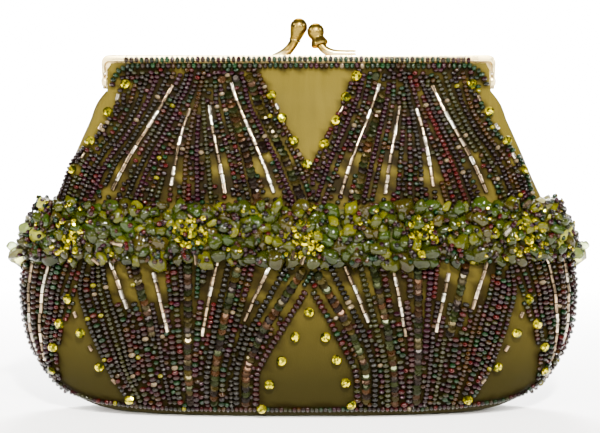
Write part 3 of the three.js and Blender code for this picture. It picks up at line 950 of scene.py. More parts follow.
for mirrored, side in ((False, "left"), (True, "right")):
    high = (f"upper_fan_{side}", UPPER_HEIGHTS, UPPER_GUIDES, mirrored)
    deep = (f"lower_fan_{side}", LOWER_HEIGHTS, LOWER_GUIDES, mirrored)
    upper = sew_fan(*high, FILLER_KINDS, FILLER_SPACING)
    lower = sew_fan(*deep, LOWER_FILLER_KINDS, LOWER_FILLER_SPACING)
    upper += fill_fan(*high, UPPER_FILL_TOP, 0)
    lower += fill_fan(*deep, LOWER_FILL_TOP, LOWER_RAGGED)
    print(side, "fans:", upper, "and", lower, "beads")

# %% [markdown]
# ## Fans over the side seams
# Below the belt, half a fan shows at either edge of the front, and goes on round the side. A pixel near the
# outline is a poor guide there, because the cloth turns away. These strands are spread by turn instead,
# between the side seam and the edge of the bare satin window.

# %% Sew the side fans
SIDE_HEIGHTS = (256, 280, 295, 313, 332, 352, 372, 388, 402)
SIDE_EDGE = (94, 84, 79, 74, 66, 61, 61, 64, 70)
SIDE_ROWS = 4.2
SIDE_STRANDS = 16
SIDE_ORDER = [0, 15, 8, 4, 12, 2, 6, 10, 14, 1, 3, 5, 7, 9, 11, 13]


def turn_of(place):
    """The turn of a point of the cloth, as ring_point counts it."""
    wide = reach(Vector((1, 0, 0)), place.z)
    deep = reach(Vector((0, -1, 0)), place.z)
    return math.atan2(-place.y / deep, place.x / wide)


side_chart = []
for row in np.arange(SIDE_HEIGHTS[0], SIDE_HEIGHTS[-1], SIDE_ROWS):
    edge = land(np.interp(row, SIDE_HEIGHTS, SIDE_EDGE), row)[0]
    side_chart.append((edge.z, math.pi - turn_of(edge)))


def side_line(share, mirrored):
    places = []
    for z, turn in side_chart:
        turn = turn * share
        places.append(land_at_turn(math.pi - turn if mirrored else turn, z))
    return places


for mirrored, side in ((True, "left"), (False, "right")):
    count = 0
    for j in SIDE_ORDER:
        kind = "large" if j in (0, 4, 8, 12) else "bugle" if j in (6, 10) else "small"
        share = (j + 0.5) / SIDE_STRANDS
        count += sew(side_line(share, mirrored), kind, f"side_fan_{side}", (side, j))
    for j in range(2 * SIDE_STRANDS):
        fill = side_line((j + 0.5) / 2 / SIDE_STRANDS, mirrored)
        for place, normal, along in walk(fill, 1.2 * MM):
            count += fill_bead(place, normal, along, f"side_fan_{side}")
    print("side fan", side, count, "beads")

# %% Join the beads into meshes
HALF_TURN = Matrix.Rotation(math.pi, 3, "Z")
# Painted flashes: facet tints from bright yellow to nearly black.
STONE_PAINTED_FLASH_TINTS = [
    (0.66, 0.53, 0.0),
    (0.28, 0.24, 0.0),
    (0.03, 0.035, 0.0),
    (0.015, 0.02, 0.0),
    (0.06, 0.055, 0.0),
    (0.75, 0.62, 0.0),
]


def turned_round(bead):
    """The same bead, half a turn round. The cloth is the same there."""
    return bead._replace(
        place=HALF_TURN @ bead.place, along=HALF_TURN @ bead.along, normal=HALF_TURN @ bead.normal
    )


def beadwork(name, shape, beads):
    """One mesh with a copy of a shape for each bead, and the beads' tints as an attribute."""
    corners, faces = SHAPES[shape]
    bases = []
    for bead in beads:
        across = bead.normal.cross(bead.along).normalized()
        up = bead.along.cross(across).normalized()
        bases.append((bead.along[:], across[:], up[:]))
    axes = np.array(bases)
    sizes = np.array([bead.size for bead in beads])
    places = np.array([bead.place[:] for bead in beads])
    points = np.einsum("nvi,nij->nvj", corners[None] * sizes[:, None, :], axes) + places[:, None, :]
    count = len(corners)
    all_faces = [[i + n * count for i in face] for n in range(len(beads)) for face in faces]
    mesh = bpy.data.meshes.new(name)
    mesh.from_pydata(points.reshape(-1, 3), [], all_faces)
    # Stones get a tint per facet: painted flashes and painted dark facets.
    if shape == "stone":
        tints = np.array([(*luck.choice(STONE_PAINTED_FLASH_TINTS), 1.0) for _ in all_faces], dtype=np.float32)
        layer = mesh.attributes.new("tint", "FLOAT_COLOR", "FACE")
    else:
        tints = np.repeat(np.array([(*bead.tint, 1.0) for bead in beads], dtype=np.float32), count, axis=0)
        layer = mesh.attributes.new("tint", "FLOAT_COLOR", "POINT")
    layer.data.foreach_set("color", tints.ravel())
    mesh.update()
    return mesh


total_faces = 0
for (piece, shape), beads in sorted(sewn.items()):
    for face_name, group in (("front", beads), ("back", [turned_round(b) for b in beads])):
        name = f"{piece}_{shape}_{face_name}"
        mesh = beadwork(name, shape, group)
        work = finish_piece(name, mesh, BEAD_GLASS[shape], SLOTS[shape], smooth=shape != "sequin")
        if shape == "bugle":
            work.data.set_sharp_from_angle(angle=math.radians(60))
        total_faces += len(mesh.polygons)
print("beads:", 2 * sum(len(b) for b in sewn.values()), "in", total_faces, "faces")

# %% [markdown]
# Close up, the cloth between packed beads is nearly black with thread and shadow. The pouch gets an
# attribute that says how much beadwork is near each of its corners, and the satin darkens with it: dark
# thread and painted shade in one.

# %% Thread and painted shade under the beads
THREAD_REACH = 2.2 * MM
BARE_BELOW = 0.8
FULL_COVER = 1.6


def beads_near(point):
    count = 0
    for other, _, owner in neighbours(point):
        count += owner not in ("stones", "bare") and (other - point).length < THREAD_REACH
    return count


thread_and_shade = pouch.data.attributes.new("thread_and_shade", "FLOAT", "POINT")
for vert in pouch.data.vertices:
    front = vert.co if vert.co.y <= 0 else HALF_TURN @ vert.co
    thread_and_shade.data[vert.index].value = min(1.0, max(0.0, (beads_near(front) - BARE_BELOW) / FULL_COVER))
print("cloth corners under beads:", sum(item.value > 0.5 for item in thread_and_shade.data))

# %% [markdown]
# ## The belt of glass chips
# Tumbled chips of olive glass are strung so closely that they stand out from the belly in a ruff. Each is a
# ball whose corners are moved by noise, flattened and softened. A few such pebbles are enough, because
# each copy is turned and stretched its own way. They lie on a strip of net, which the construction model
# holds as the belt's backing; the net is painted near black, so that the gaps between the chips read as
# painted shade. Nine paler chips at each side seam stand out from the outline.

# %% Chip glass
def make_chip_glass(name, clear, specular):
    finish = Finish(
        name, colour(0.2, 0.22, 0.02), Transmission_Weight=clear, IOR=1.45, Specular_IOR_Level=specular
    )
    tint = finish.node("ShaderNodeAttribute", attribute_name="tint")
    veins = finish.effect(mottle_group, Scale=260, Low=0, High=0.6)
    finish.to("Base Color", finish.mix(veins, tint.outputs["Color"], colour(0.015, 0.018, 0.001)))
    finish.to("Roughness", finish.effect(mottle_group, Scale=400, Low=0.04, High=0.16))
    finish.bump(finish.effect(grain_group, Scale=450, Pits=0.3), 0.12 * MM, 0.4)
    return finish.material


chip_glass = make_chip_glass("chip_glass", 0.16, 0.13)
clear_chip_glass = make_chip_glass("clear_chip_glass", 0.85, 0.5)
CHIP_TINTS = [
    (0.020, 0.021, 0.0003),
    (0.009, 0.013, 0.0003),
    (0.050, 0.048, 0.0005),
    (0.006, 0.008, 0.0003),
    (0.014, 0.009, 0.0006),
    (0.007, 0.015, 0.0008),
]
PALE_TINTS = [(0.11, 0.14, 0.035), (0.13, 0.12, 0.045), (0.20, 0.20, 0.02)]
CLEAR_TINTS = [(0.55, 0.66, 0.30), (0.62, 0.60, 0.36), (0.74, 0.74, 0.22)]
# Painted shade: chips low on the belt are darkened by this factor.
LOWER_CHIPS_PAINTED_SHADE = 0.6
PEBBLES = 6
PEBBLE_ROUGHNESS = 0.55


def pebble_shape(seed):
    def make(form):
        bmesh.ops.create_icosphere(form, subdivisions=2, radius=0.5)
        for vert in form.verts:
            bulge = noise.noise(vert.co * 3.1 + Vector((seed * 5.3, 0, 0)))
            vert.co *= 1 + PEBBLE_ROUGHNESS * bulge
        soften(form, form.verts, 0.15)
    return make


for seed in range(PEBBLES):
    SHAPES[f"pebble_{seed}"] = template(pebble_shape(seed))
print("chip shapes:", PEBBLES)

# %% Net strip and chips
BELT_MIDDLE = 76.5 * MM
BELT_WIDTH = 22 * MM
NET_LIFT = 1.3 * MM
CHIP_TRIES = 8000
CHIP_SPACING = 0.54
ROSETTE_ROOM = 3.6 * MM
SEAM_CLEAR = 0.985
EdgeChip = namedtuple("EdgeChip", "px py long wide lean")
EDGE_CHIPS = [
    EdgeChip(46, 206, 8.6, 6.6, 60), EdgeChip(32, 220, 7.2, 5.6, 100), EdgeChip(23, 235, 5.0, 4.0, 80),
    EdgeChip(12, 246, 5.0, 4.4, 30), EdgeChip(18, 256, 8.6, 6.8, 110), EdgeChip(38, 246, 7.6, 6.0, 20),
    EdgeChip(36, 232, 6.8, 5.8, 150), EdgeChip(50, 219, 6.4, 5.4, 40), EdgeChip(34, 259, 6.0, 5.0, 160),
]
rosette_places = [nearest_cloth(middle_of(name)) for name in rosette_nodes]


def scatter_chips():
    """Chips thrown at the belt at random, kept where they don't crowd the ones before."""
    kept = []
    for attempt in range(CHIP_TRIES):
        turn = luck.uniform(0, math.pi)
        if abs(math.cos(turn)) > SEAM_CLEAR:
            continue
        upended = abs(math.cos(turn)) ** 6
        z = BELT_MIDDLE + luck.uniform(-0.5, 0.5) * BELT_WIDTH
        place, normal = land_at_turn(turn, z)
        layer = 0 if attempt < CHIP_TRIES * 0.6 else 1
        length = luck.uniform(5.0, 10.5) * MM * (1 + 0.15 * upended)
        width = length * luck.uniform(0.6, 0.85)
        depth = length * luck.uniform(0.4, 0.6)
        lift = NET_LIFT + (1.6 + 2.4 * layer + 1.2 * upended * luck.random()) * MM
        above = max(0.0, (z - BELT_MIDDLE) / (BELT_WIDTH / 2))
        lift -= 2.8 * MM * upended * above
        seat = place + normal * lift
        if any((place - spot).length < ROSETTE_ROOM for spot, _ in rosette_places):
            continue
        if any((seat - other).length < CHIP_SPACING * (length + size) / 2 for other, size in kept):
            continue
        kept.append((seat, length))
        spin = Matrix.Rotation(luck.uniform(0, 2 * math.pi), 3, normal)
        side = spin @ normal.orthogonal().normalized()
        lean = luck.uniform(0.0, 0.55) + 0.7 * upended
        along = (side * math.cos(lean) + normal * math.sin(lean)).normalized()
        pale = upended > 0.6 and luck.random() < 0.45
        tint = vary(luck.choice(PALE_TINTS if pale else CHIP_TINTS), 0.25)
        # Painted shade: the lower chips are darker.
        if z < BELT_MIDDLE - 5 * MM:
            tint = tuple(c * LOWER_CHIPS_PAINTED_SHADE for c in tint)
        shape = f"pebble_{luck.randrange(PEBBLES)}"
        yield shape, Bead(seat, along, normal, (length, width, depth), tint)


def edge_chips():
    """Pale chips that stand out from the side seam, charted in pixels of the picture."""
    for chip in EDGE_CHIPS:
        direction = ray_through(chip.px, chip.py)
        seat = eye + direction * ((luck.uniform(-3, 0) * MM - eye.y) / direction.y)
        angle = math.radians(chip.lean)
        along = Vector((math.cos(angle), luck.uniform(-0.3, 0.3), math.sin(angle))).normalized()
        depth = chip.wide * luck.uniform(0.6, 0.8)
        size = (chip.long * MM, chip.wide * MM, depth * MM)
        tint = vary(luck.choice(CLEAR_TINTS), 0.15)
        yield f"pebble_{luck.randrange(PEBBLES)}", Bead(seat, along, Vector((0, -1, 0)), size, tint)


def by_shape(pairs):
    sorted_chips = {}
    for shape, bead in pairs:
        sorted_chips.setdefault(shape, []).append(bead)
    return sorted_chips


chips = by_shape(scatter_chips())
clear_chips = by_shape(edge_chips())


def net_strip(name):
    """A strip of net along the front of the belly, from seam to seam."""
    form = bmesh.new()
    bmesh.ops.create_grid(form, x_segments=96, y_segments=8, size=0.5)
    for vert in form.verts:
        turn = math.pi * (0.5 + vert.co.x * 0.996)
        place, normal = land_at_turn(turn, BELT_MIDDLE + vert.co.y * (BELT_WIDTH - 2 * MM))
        vert.co = place + normal * NET_LIFT
    bmesh.ops.recalc_face_normals(form, faces=form.faces)
    bmesh.ops.solidify(form, geom=form.faces[:], thickness=NET_LIFT - 0.5 * MM)
    bmesh.ops.recalc_face_normals(form, faces=form.faces)
    return mesh_from(form, name)


# Painted shade: the net is near black, so the gaps between the chips read dark.
def make_net():
    finish = Finish("shade_dark_net", colour(0.02, 0.02, 0.005), Roughness=0.8, Specular_IOR_Level=0.1)
    weave = finish.effect(mottle_group, Scale=900, Low=0, High=1)
    finish.to("Base Color", finish.mix(weave, colour(0.008, 0.009, 0.002), colour(0.03, 0.03, 0.006)))
    finish.bump(finish.effect(grain_group, Scale=1400, Pits=0.8), 0.3 * MM, 0.8)
    return finish.material


def turned_mesh(mesh, name):
    copy = mesh.copy()
    copy.name = name
    copy.transform(HALF_TURN.to_4x4())
    return copy


shade_dark_net = make_net()
strip = net_strip("belt_net_front")
print("chips on each side:", sum(len(b) for b in chips.values()))


def join_meshes(meshes, name):
    """One mesh from several, keeping the tint attribute."""
    form = bmesh.new()
    for mesh in meshes:
        form.from_mesh(mesh)
    return mesh_from(form, name)


def chip_field(groups, name):
    return join_meshes([beadwork(f"{name}_{shape}", shape, beads) for shape, beads in groups.items()], name)


chip_mesh = chip_field(chips, "chips_front")
clear_mesh = chip_field(clear_chips, "clear_chips_front")
back_strip = turned_mesh(strip, "belt_net_back")
back_chips = turned_mesh(chip_mesh, "chips_back")
finish_piece("belt_net_front", strip, shade_dark_net, "iris_beads")
finish_piece("belt_net_back", back_strip, shade_dark_net, "iris_beads")
finish_piece("chips_front", chip_mesh, chip_glass, "chip_glass", ["chip_belt_front"])
finish_piece("chips_back", back_chips, chip_glass, "chip_glass", ["chip_belt_back"])
clear_back = turned_mesh(clear_mesh, "clear_chips_back")
finish_piece("clear_chips_front", clear_mesh, clear_chip_glass, "chip_glass")
finish_piece("clear_chips_back", clear_back, clear_chip_glass, "chip_glass")
print("chip faces:", len(chip_mesh.polygons), "on each side")

# %% [markdown]
# Seed beads, silver tubes and small yellow stones are strung between the chips, so the belt is never one
# even green. They are scattered in the same band, a little further out than the net.

# %% Beads among the chips
AMONG = {"iris": 720, "bugle": 10, "stone": 60}
AMONG_SIZES = {"iris": (2.0, 2.5, 2.3), "bugle": (4.0, 1.7, 1.7), "stone": (1.9, 1.9, 1.9)}
AMONG_LIFTS = {"iris": (3.2, 6.8), "bugle": (5.5, 7.5), "stone": (5.0, 7.8)}


def beads_among(shape):
    low, high = AMONG_LIFTS[shape]
    for _ in range(AMONG[shape]):
        turn = luck.uniform(0.06, math.pi - 0.06)
        place, normal = land_at_turn(turn, BELT_MIDDLE + luck.uniform(-0.5, 0.5) * BELT_WIDTH)
        seat = place + normal * luck.uniform(low, high) * MM
        side = Matrix.Rotation(luck.uniform(0, 2 * math.pi), 3, normal) @ normal.orthogonal().normalized()
        size = tuple(s * MM * luck.uniform(0.85, 1.15) for s in AMONG_SIZES[shape])
        tint = vary(luck.choice(TINTS[shape]), 0.4) if shape in TINTS else (1, 1, 1)
        yield Bead(seat, side, normal, size, tint)


def add_beads_among(shape, material, slot):
    front = list(beads_among(shape))
    for word, group in (("front", front), ("back", [turned_round(b) for b in front])):
        name = f"belt_{shape}_{word}"
        finish_piece(name, beadwork(name, shape, group), material, slot, smooth=shape == "iris")
    print("among the chips:", len(front), shape)


for shape in ("iris", "bugle"):
    add_beads_among(shape, BEAD_GLASS[shape], SLOTS[shape])

# %% [markdown]
# ## Cut crystals
# The construction model gives each crystal's place. Here each one becomes a cut stone, turned from a
# profile with a flat table, a bevelled crown and a pointed back, in nine facets. Every facet has its own
# tint, from bright yellow to nearly black: painted flashes and painted dark facets, standing in for the
# light and shade of cut glass.

# %% Crystal glass
def make_crystal_glass():
    finish = Finish("crystal_glass", colour(0.8, 0.7, 0.02), Metallic=0.85, Specular_IOR_Level=0.25)
    tint = finish.node("ShaderNodeAttribute", attribute_name="tint")
    shade = finish.effect(mottle_group, Scale=700, Low=0, High=0.5)
    finish.to("Base Color", finish.mix(shade, tint.outputs["Color"], colour(0.02, 0.024, 0.0)))
    finish.to("Roughness", finish.effect(mottle_group, Scale=500, Low=0.03, High=0.12))
    return finish.material


crystal_glass = make_crystal_glass()
STONE_FACETS = 9
STONE_PROFILE = [(0, -0.36), (0.5, 0), (0.41, 0.17), (0.22, 0.28), (0, 0.28)]
CRYSTAL_SIZE = 4.3 * MM
CRYSTAL_LIFT = 0.2 * MM


def spun(form, profile, steps, axis=Vector((0, 0, 1))):
    """Turns a profile of (radius, height) pairs about Z into a closed body."""
    verts = [form.verts.new((radius, 0, height)) for radius, height in profile]
    edges = [form.edges.new(pair) for pair in zip(verts, verts[1:])]
    bmesh.ops.spin(
        form, geom=verts + edges, cent=(0, 0, 0), axis=axis, angle=2 * math.pi, steps=steps, use_merge=True
    )
    bmesh.ops.remove_doubles(form, verts=form.verts, dist=1e-6)
    bmesh.ops.recalc_face_normals(form, faces=form.faces)


def stone_shape(form):
    spun(form, STONE_PROFILE, STONE_FACETS)


def leaning_stone(place, normal, size, lean):
    """A stone that leans a little, turned to a chance angle about its own axis."""
    side = Matrix.Rotation(luck.uniform(0, 2 * math.pi), 3, normal) @ normal.orthogonal().normalized()
    tilted = (normal + side * luck.uniform(0, lean)).normalized()
    return Bead(place, tilted.orthogonal().normalized(), tilted, (size,) * 3, (1, 1, 1))


SHAPES["stone"] = template(stone_shape)
add_beads_among("stone", crystal_glass, "crystal_glass")
crystals = []
for name in crystal_nodes:
    middle = middle_of(name)
    normal = nearest_cloth(middle)[1]
    crystals.append(leaning_stone(middle + normal * CRYSTAL_LIFT, normal, CRYSTAL_SIZE, 0.3))
crystal_mesh = beadwork("window_crystals", "stone", crystals)
finish_piece("window_crystals", crystal_mesh, crystal_glass, "crystal_glass", crystal_nodes, smooth=False)
print("crystals:", len(crystals))

# %% Rosettes
PLATE_RADIUS = 7.9 * MM
PLATE_DEPTH = 0.9 * MM
PLATE_LIFT = 1.8 * MM
HEART = 5.0 * MM
PETALS = 14
PETAL_SIZES = (2.4 * MM, 3.8 * MM)
PETAL_REACH = (3.0 * MM, 7.8 * MM)


def rosette(node):
    """The plate, and a heart stone with a loose ring of smaller ones on it."""
    place, normal = nearest_cloth(middle_of(node))
    side = normal.cross(Vector((0, 0, 1))).normalized()
    up = side.cross(normal).normalized()
    seat = place + normal * PLATE_LIFT
    stones = [leaning_stone(seat + normal * 3.6 * MM, normal, HEART, 0.2)]
    for i in range(PETALS):
        angle = 2 * math.pi * (i + luck.uniform(-0.25, 0.25)) / PETALS
        spot = seat + (side * math.cos(angle) + up * math.sin(angle)) * luck.uniform(*PETAL_REACH)
        raised = spot + normal * luck.uniform(2.8, 4.4) * MM
        stones.append(leaning_stone(raised, normal, luck.uniform(*PETAL_SIZES), 0.6))
    plate = bmesh.new()
    turn = Matrix((side, up, normal)).transposed().to_4x4()
    turn.translation = seat + normal * PLATE_DEPTH / 2
    bmesh.ops.create_cone(
        plate, segments=32, radius1=PLATE_RADIUS, radius2=PLATE_RADIUS, depth=PLATE_DEPTH,
        cap_ends=True, matrix=turn,
    )
    return beadwork(f"{node}_stones", "stone", stones), mesh_from(plate, f"{node}_plate")


for node in rosette_nodes:
    stones, plate = rosette(node)
    finish_piece(f"{node}_stones", stones, crystal_glass, "crystal_glass", [node], smooth=False)
    # Painted shade: the plate takes the near-black net finish, dark between the stones.
    finish_piece(f"{node}_plate", plate, shade_dark_net, "gilt_metal", smooth=False)
print("rosettes:", len(rosette_nodes))

# %% [markdown]
# ## The gilt frame
# Each half of the frame is an upside-down U of pressed brass, plated in pale gold. Its corners are
# rounded, so that light runs along them as a fine line. The outline is drawn once, extruded, and
# bevelled. The knob is turned on an axis and the stem is a tapering rod along a curve. The back half is
# the same form turned round, with its own taller stem.

# %% Gilt
# Painted shade: above this height the stems and knobs are a darker gold.
DARK_KNOB_FROM = 149.5 * MM


def make_gilt():
    finish = Finish("gilt", colour(0.7, 0.5, 0.2), Metallic=1.0, Specular_Tint=colour(0.42, 0.32, 0.10))
    film = finish.effect(mottle_group, Scale=90, Low=0, High=0.8)
    plated = finish.mix(film, colour(0.86, 0.70, 0.36), colour(0.60, 0.44, 0.14))
    height = finish.node("ShaderNodeSeparateXYZ")
    finish.links.new(finish.place, height.inputs["Vector"])
    knob_shade_mask = finish.node("ShaderNodeMapRange")
    knob_shade_mask.inputs["From Min"].default_value = DARK_KNOB_FROM
    knob_shade_mask.inputs["From Max"].default_value = DARK_KNOB_FROM + 2 * MM
    finish.links.new(height.outputs["Z"], knob_shade_mask.inputs["Value"])
    # Painted shade: the stems and knobs are darker gold.
    painted_dark_gold = finish.mix(film, colour(0.16, 0.108, 0.018), colour(0.075, 0.048, 0.007))
    finish.to("Base Color", finish.mix(knob_shade_mask.outputs["Result"], plated, painted_dark_gold))
    finish.to("Roughness", finish.effect(mottle_group, Scale=160, Low=0.2, High=0.36))
    finish.bump(finish.effect(grain_group, Scale=2400, Pits=0.2), 0.02 * MM, 0.35)
    return finish.material


gilt = make_gilt()
print("made", gilt.name)

# %% Frame measures
HALF_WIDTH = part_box("frame_front")[1].x
RIM_TOP = 149.3 * MM
RIM_FACE = 2.7 * MM
RIM_SIDE = 1.4 * MM
RIM_CORNER = 3.2 * MM
RIM_BACK = -0.3 * MM
RIM_FRONT = -6.0 * MM
RIM_FOOT = 141.9 * MM
FLANGE_WIDTH = 6.5 * MM
FLANGE_BACK = -2.7 * MM
FLANGE_FRONT = -3.7 * MM
HINGE_HEIGHT = 138.4 * MM
EAR_RADIUS = 3.2 * MM
EAR_THICKNESS = 0.6 * MM
EAR_INSETS = {"front": 0.0, "back": 0.8 * MM}
EDGE_BEVEL = 0.5 * MM
KNOB_RADIUS = 3.65
KNOB_STEPS = 32
RIM_MIDDLE = -3.15
StemPoint = namedtuple("StemPoint", "x y up radius")
STEMS = {
    "front": [
        StemPoint(23.7, RIM_MIDDLE, 0.6, 1.6), StemPoint(18, RIM_MIDDLE, 0.6, 1.65),
        StemPoint(14, RIM_MIDDLE, 0.9, 1.75), StemPoint(11, -2.8, 2.2, 1.85), StemPoint(9.2, -2.1, 4.3, 1.9),
        StemPoint(8.1, -1.4, 6.6, 1.9), StemPoint(7.1, -0.6, 9.7, 1.9),
    ],
    "back": [
        StemPoint(10.5, RIM_MIDDLE, -0.9, 1.6), StemPoint(7.4, RIM_MIDDLE, 0.1, 2.0),
        StemPoint(5, -2.9, 1.6, 2.1), StemPoint(3.2, -2.4, 3.6, 2.05), StemPoint(1.5, -1.6, 6.4, 2.1),
        StemPoint(-0.1, -0.6, 11.8, 2.1),
    ],
}
BALL_FROM = {"front": -36, "back": -18}
KNOB_BELLS = {
    "front": [
        (0, -6.5), (1.9, -6.5), (3.3, -6.2), (3.7, -5.5), (3.55, -4.8), (3.1, -3.8), (2.75, -3.1), (2.7, -2.6),
    ],
    "back": [
        (0, -6.4), (1.9, -6.4), (2.5, -6.1), (2.55, -5.7), (2.35, -5.3), (2.6, -4.3), (2.95, -3.2), (3.2, -2.1),
    ],
}
print("frame width", round(2 * HALF_WIDTH / MM, 1), "mm")

# %% Frame form
def arc(middle_x, middle_z, radius, start, end, steps=6):
    angles = np.radians(np.linspace(start, end, steps + 1))
    return [(middle_x + radius * math.cos(a), middle_z + radius * math.sin(a)) for a in angles]


def arch(half, top, radius, thick_side, thick_top, foot):
    """The outline of an upside-down U, from its left foot round the outside and back inside."""
    inner = half - thick_side
    inner_top = top - thick_top
    small = radius / 2
    outline = [(-half, foot)] + arc(-half + radius, top - radius, radius, 180, 90)
    outline += arc(half - radius, top - radius, radius, 90, 0) + [(half, foot), (inner, foot)]
    outline += arc(inner - small, inner_top - small, small, 0, 90)
    outline += arc(-inner + small, inner_top - small, small, 90, 180) + [(-inner, foot)]
    return outline


def slab(form, outline, near, far, bevel):
    """A flat body with an outline in X and Z, from one Y to another, with its edges rounded."""
    verts = [form.verts.new((x, near, z)) for x, z in outline]
    face = form.faces.new(verts)
    moved = corners_in(bmesh.ops.extrude_face_region(form, geom=[face])["geom"])
    bmesh.ops.translate(form, verts=moved, vec=(0, far - near, 0))
    own = verts + moved
    edges = {edge for vert in own for edge in vert.link_edges}
    sharp = [edge for edge in edges if edge.is_manifold and edge.calc_face_angle(0) > math.radians(40)]
    if bevel:
        bmesh.ops.bevel(
            form, geom=sharp, offset=bevel, segments=3, affect="EDGES", profile=0.5, material=-1,
            clamp_overlap=True,
        )


def rod(points, radii):
    """A rod along a smooth curve, with a radius at each point, as a mesh."""
    curve = bpy.data.curves.new("rod", "CURVE")
    curve.dimensions = "3D"
    curve.bevel_depth = 1
    curve.bevel_resolution = 4
    curve.resolution_u = 6
    curve.use_fill_caps = True
    spline = curve.splines.new("BEZIER")
    spline.bezier_points.add(len(points) - 1)
    for knot, point, radius in zip(spline.bezier_points, points, radii):
        knot.co = point
        knot.radius = radius
        knot.handle_left_type = "AUTO"
        knot.handle_right_type = "AUTO"
    holder = bpy.data.objects.new("rod", curve)
    mesh = bpy.data.meshes.new_from_object(holder)
    bpy.data.objects.remove(holder)
    return mesh


def knob_form(which):
    """A ball on a small bell, with the ball round the origin and its stem down Z."""
    angles = np.radians(np.arange(BALL_FROM[which], 90, 9))
    ball = [(KNOB_RADIUS * math.cos(a), KNOB_RADIUS * math.sin(a)) for a in angles]
    profile = [(r * MM, z * MM) for r, z in KNOB_BELLS[which] + ball + [(0, KNOB_RADIUS)]]
    form = bmesh.new()
    spun(form, profile, KNOB_STEPS)
    return form


def ear(form, side, inset):
    """The flat ear that holds the rivet, below a leg of the rim."""
    outline = [(-6.0 * MM + EDGE_BEVEL, RIM_FOOT + RIM_SIDE), (-6.0 * MM + EDGE_BEVEL, RIM_FOOT)]
    outline += arc(0, HINGE_HEIGHT, EAR_RADIUS, 180, 420, 14)
    outline += [(-0.6 * MM, RIM_FOOT), (-0.6 * MM, RIM_FOOT + RIM_SIDE)]
    outer = side * (HALF_WIDTH - inset)
    inner = side * (HALF_WIDTH - inset - EAR_THICKNESS)
    verts = [form.verts.new((outer, y, z)) for y, z in outline]
    face = form.faces.new(verts)
    moved = corners_in(bmesh.ops.extrude_face_region(form, geom=[face])["geom"])
    bmesh.ops.translate(form, verts=moved, vec=(inner - outer, 0, 0))


def frame_half(which):
    form = bmesh.new()
    rim = arch(HALF_WIDTH, RIM_TOP, RIM_CORNER, RIM_SIDE, RIM_FACE, RIM_FOOT)
    slab(form, rim, RIM_FRONT, RIM_BACK, EDGE_BEVEL)
    rooted = RIM_SIDE / 2
    flange = arch(
        HALF_WIDTH - rooted, RIM_TOP - RIM_FACE + rooted, RIM_CORNER / 2, FLANGE_WIDTH + rooted,
        FLANGE_WIDTH + rooted, RIM_FOOT + rooted,
    )
    slab(form, flange, FLANGE_FRONT, FLANGE_BACK, 0)
    for side in (-1, 1):
        ear(form, side, EAR_INSETS[which])
    bmesh.ops.recalc_face_normals(form, faces=form.faces)
    points = [Vector((p.x * MM, p.y * MM, RIM_TOP + p.up * MM)) for p in STEMS[which]]
    form.from_mesh(rod(points, [p.radius * MM for p in STEMS[which]]))
    lean = (points[-1] - points[-2]).normalized()
    knob = knob_form(which)
    bmesh.ops.transform(knob, matrix=lean.to_track_quat("Z", "X").to_matrix().to_4x4(), verts=knob.verts)
    bmesh.ops.translate(knob, verts=knob.verts, vec=points[-1])
    form.from_mesh(mesh_from(knob, "knob"))
    if which == "back":
        bmesh.ops.rotate(form, verts=form.verts, cent=(0, 0, 0), matrix=HALF_TURN)
    return mesh_from(form, f"gilt_frame_{which}")


for which in ("front", "back"):
    half = finish_piece(f"gilt_frame_{which}", frame_half(which), gilt, "gilt_metal", [f"frame_{which}"])
    half.data.set_sharp_from_angle(angle=math.radians(35))
    print(half.name, len(half.data.polygons), "faces")

# %% Rivets
RIVET_PROFILE = [(0, -2.0), (1.5, -2.0), (1.6, -1.8), (1.6, -1.5), (0.9, -1.45), (0.9, 0.2)]
RIVET_HEAD = [(1.9 * math.cos(a), 0.25 + 0.7 * math.sin(a)) for a in np.radians([0, 20, 40, 60, 80])]


def rivet(side):
    form = bmesh.new()
    spun(form, [(r * MM, z * MM) for r, z in RIVET_PROFILE + RIVET_HEAD + [(0, 0.95)]], 24)
    outwards = Matrix.Rotation(side * math.pi / 2, 3, "Y")
    bmesh.ops.rotate(form, verts=form.verts, cent=(0, 0, 0), matrix=outwards)
    bmesh.ops.translate(form, verts=form.verts, vec=(side * HALF_WIDTH, 0, HINGE_HEIGHT))
    return mesh_from(form, "rivet")


for side, word in ((-1, "left"), (1, "right")):
    finish_piece(f"rivet_{word}", rivet(side), gilt, "gilt_metal", [f"hinge_rivet_{word}"])
print("rivets done")

# %% [markdown]
# ## The studio
# The purse stands on a plain pale sweep of paper that curves up behind it, so no horizon shows. A small
# strong key light hangs in front and above, and two weaker ones stand at the sides. Five tiny ones give
# the beads their sparkle, and a broad one behind keeps the paper white.

# %% Floor and lights
SWEEP_HALF = 7.0
SWEEP_BACK = 1.6
SWEEP_RADIUS = 0.8
SWEEP_HEIGHT = 3.0


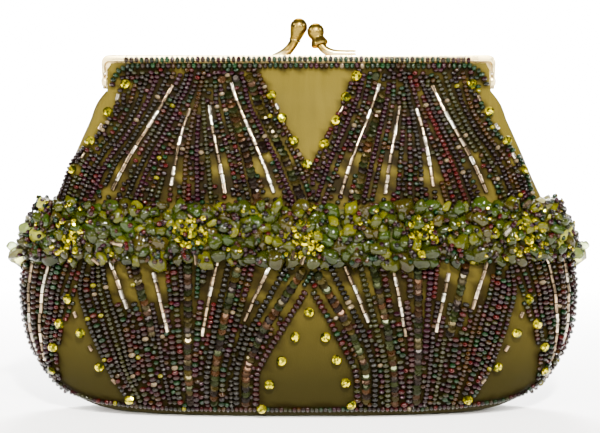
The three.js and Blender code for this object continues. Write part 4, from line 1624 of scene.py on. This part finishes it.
def make_sweep():
    form = bmesh.new()
    path = [(-6.0, 0), (SWEEP_BACK - SWEEP_RADIUS, 0)]
    path += [
        (SWEEP_BACK - SWEEP_RADIUS + SWEEP_RADIUS * math.sin(a), SWEEP_RADIUS * (1 - math.cos(a)))
        for a in np.radians(np.arange(6, 91, 6))
    ]
    path.append((SWEEP_BACK, SWEEP_HEIGHT))
    verts = [form.verts.new((-SWEEP_HALF, y, z)) for y, z in path]
    edges = [form.edges.new(pair) for pair in zip(verts, verts[1:])]
    moved = corners_in(bmesh.ops.extrude_edge_only(form, edges=edges)["geom"])
    bmesh.ops.translate(form, verts=moved, vec=(2 * SWEEP_HALF, 0, 0))
    bmesh.ops.recalc_face_normals(form, faces=form.faces)
    return mesh_from(form, "paper_sweep")


paper = Finish("paper", colour(0.92, 0.92, 0.92), Roughness=0.9, Specular_IOR_Level=0.1)
paper.to("Roughness", paper.effect(mottle_group, Scale=3, Low=0.85, High=0.95))
sweep_mesh = make_sweep()
sweep_mesh.materials.append(paper.material)
sweep = bpy.data.objects.new("paper_sweep", sweep_mesh)
scene.collection.objects.link(sweep)
sweep.location.z = -0.02 * MM


def area_light(name, place, size, power, tint=(1, 1, 1)):
    data = bpy.data.lights.new(name, "AREA")
    data.shape = "DISK"
    data.size = size
    data.energy = power
    data.color = tint
    light = bpy.data.objects.new(name, data)
    light.location = place
    light.rotation_euler = (AIM - Vector(place)).to_track_quat("-Z", "Y").to_euler()
    scene.collection.objects.link(light)


area_light("key", (0.1, -0.9, 0.75), 0.1, 60, (1, 0.97, 0.93))
area_light("left_side", (-1.0, -0.35, 0.7), 0.12, 9)
area_light("right_side", (1.0, -0.35, 0.6), 0.12, 9)
SPARKLES = [
    (-0.16, -0.95, 0.4), (-0.45, -0.8, 0.75), (0.5, -0.85, 0.35), (0.22, -0.75, 0.85), (-0.7, -0.7, 0.3),
]
for index, place in enumerate(SPARKLES):
    area_light(f"sparkle_{index}", place, 0.035, 8, (1, 0.96, 0.88))
area_light("behind", (0, 1.0, 1.2), 0.9, 170)
bpy.data.objects["behind"].rotation_euler = (0, 0, 0)
bpy.data.objects["behind"].data.spread = math.radians(85)

world = bpy.data.worlds.new("studio")
world.use_nodes = True
world.node_tree.nodes["Background"].inputs["Color"].default_value = colour(1.0, 0.97, 0.92)
world.node_tree.nodes["Background"].inputs["Strength"].default_value = 0.08
scene.world = world
print("lights:", len([o for o in scene.objects if o.type == "LIGHT"]))
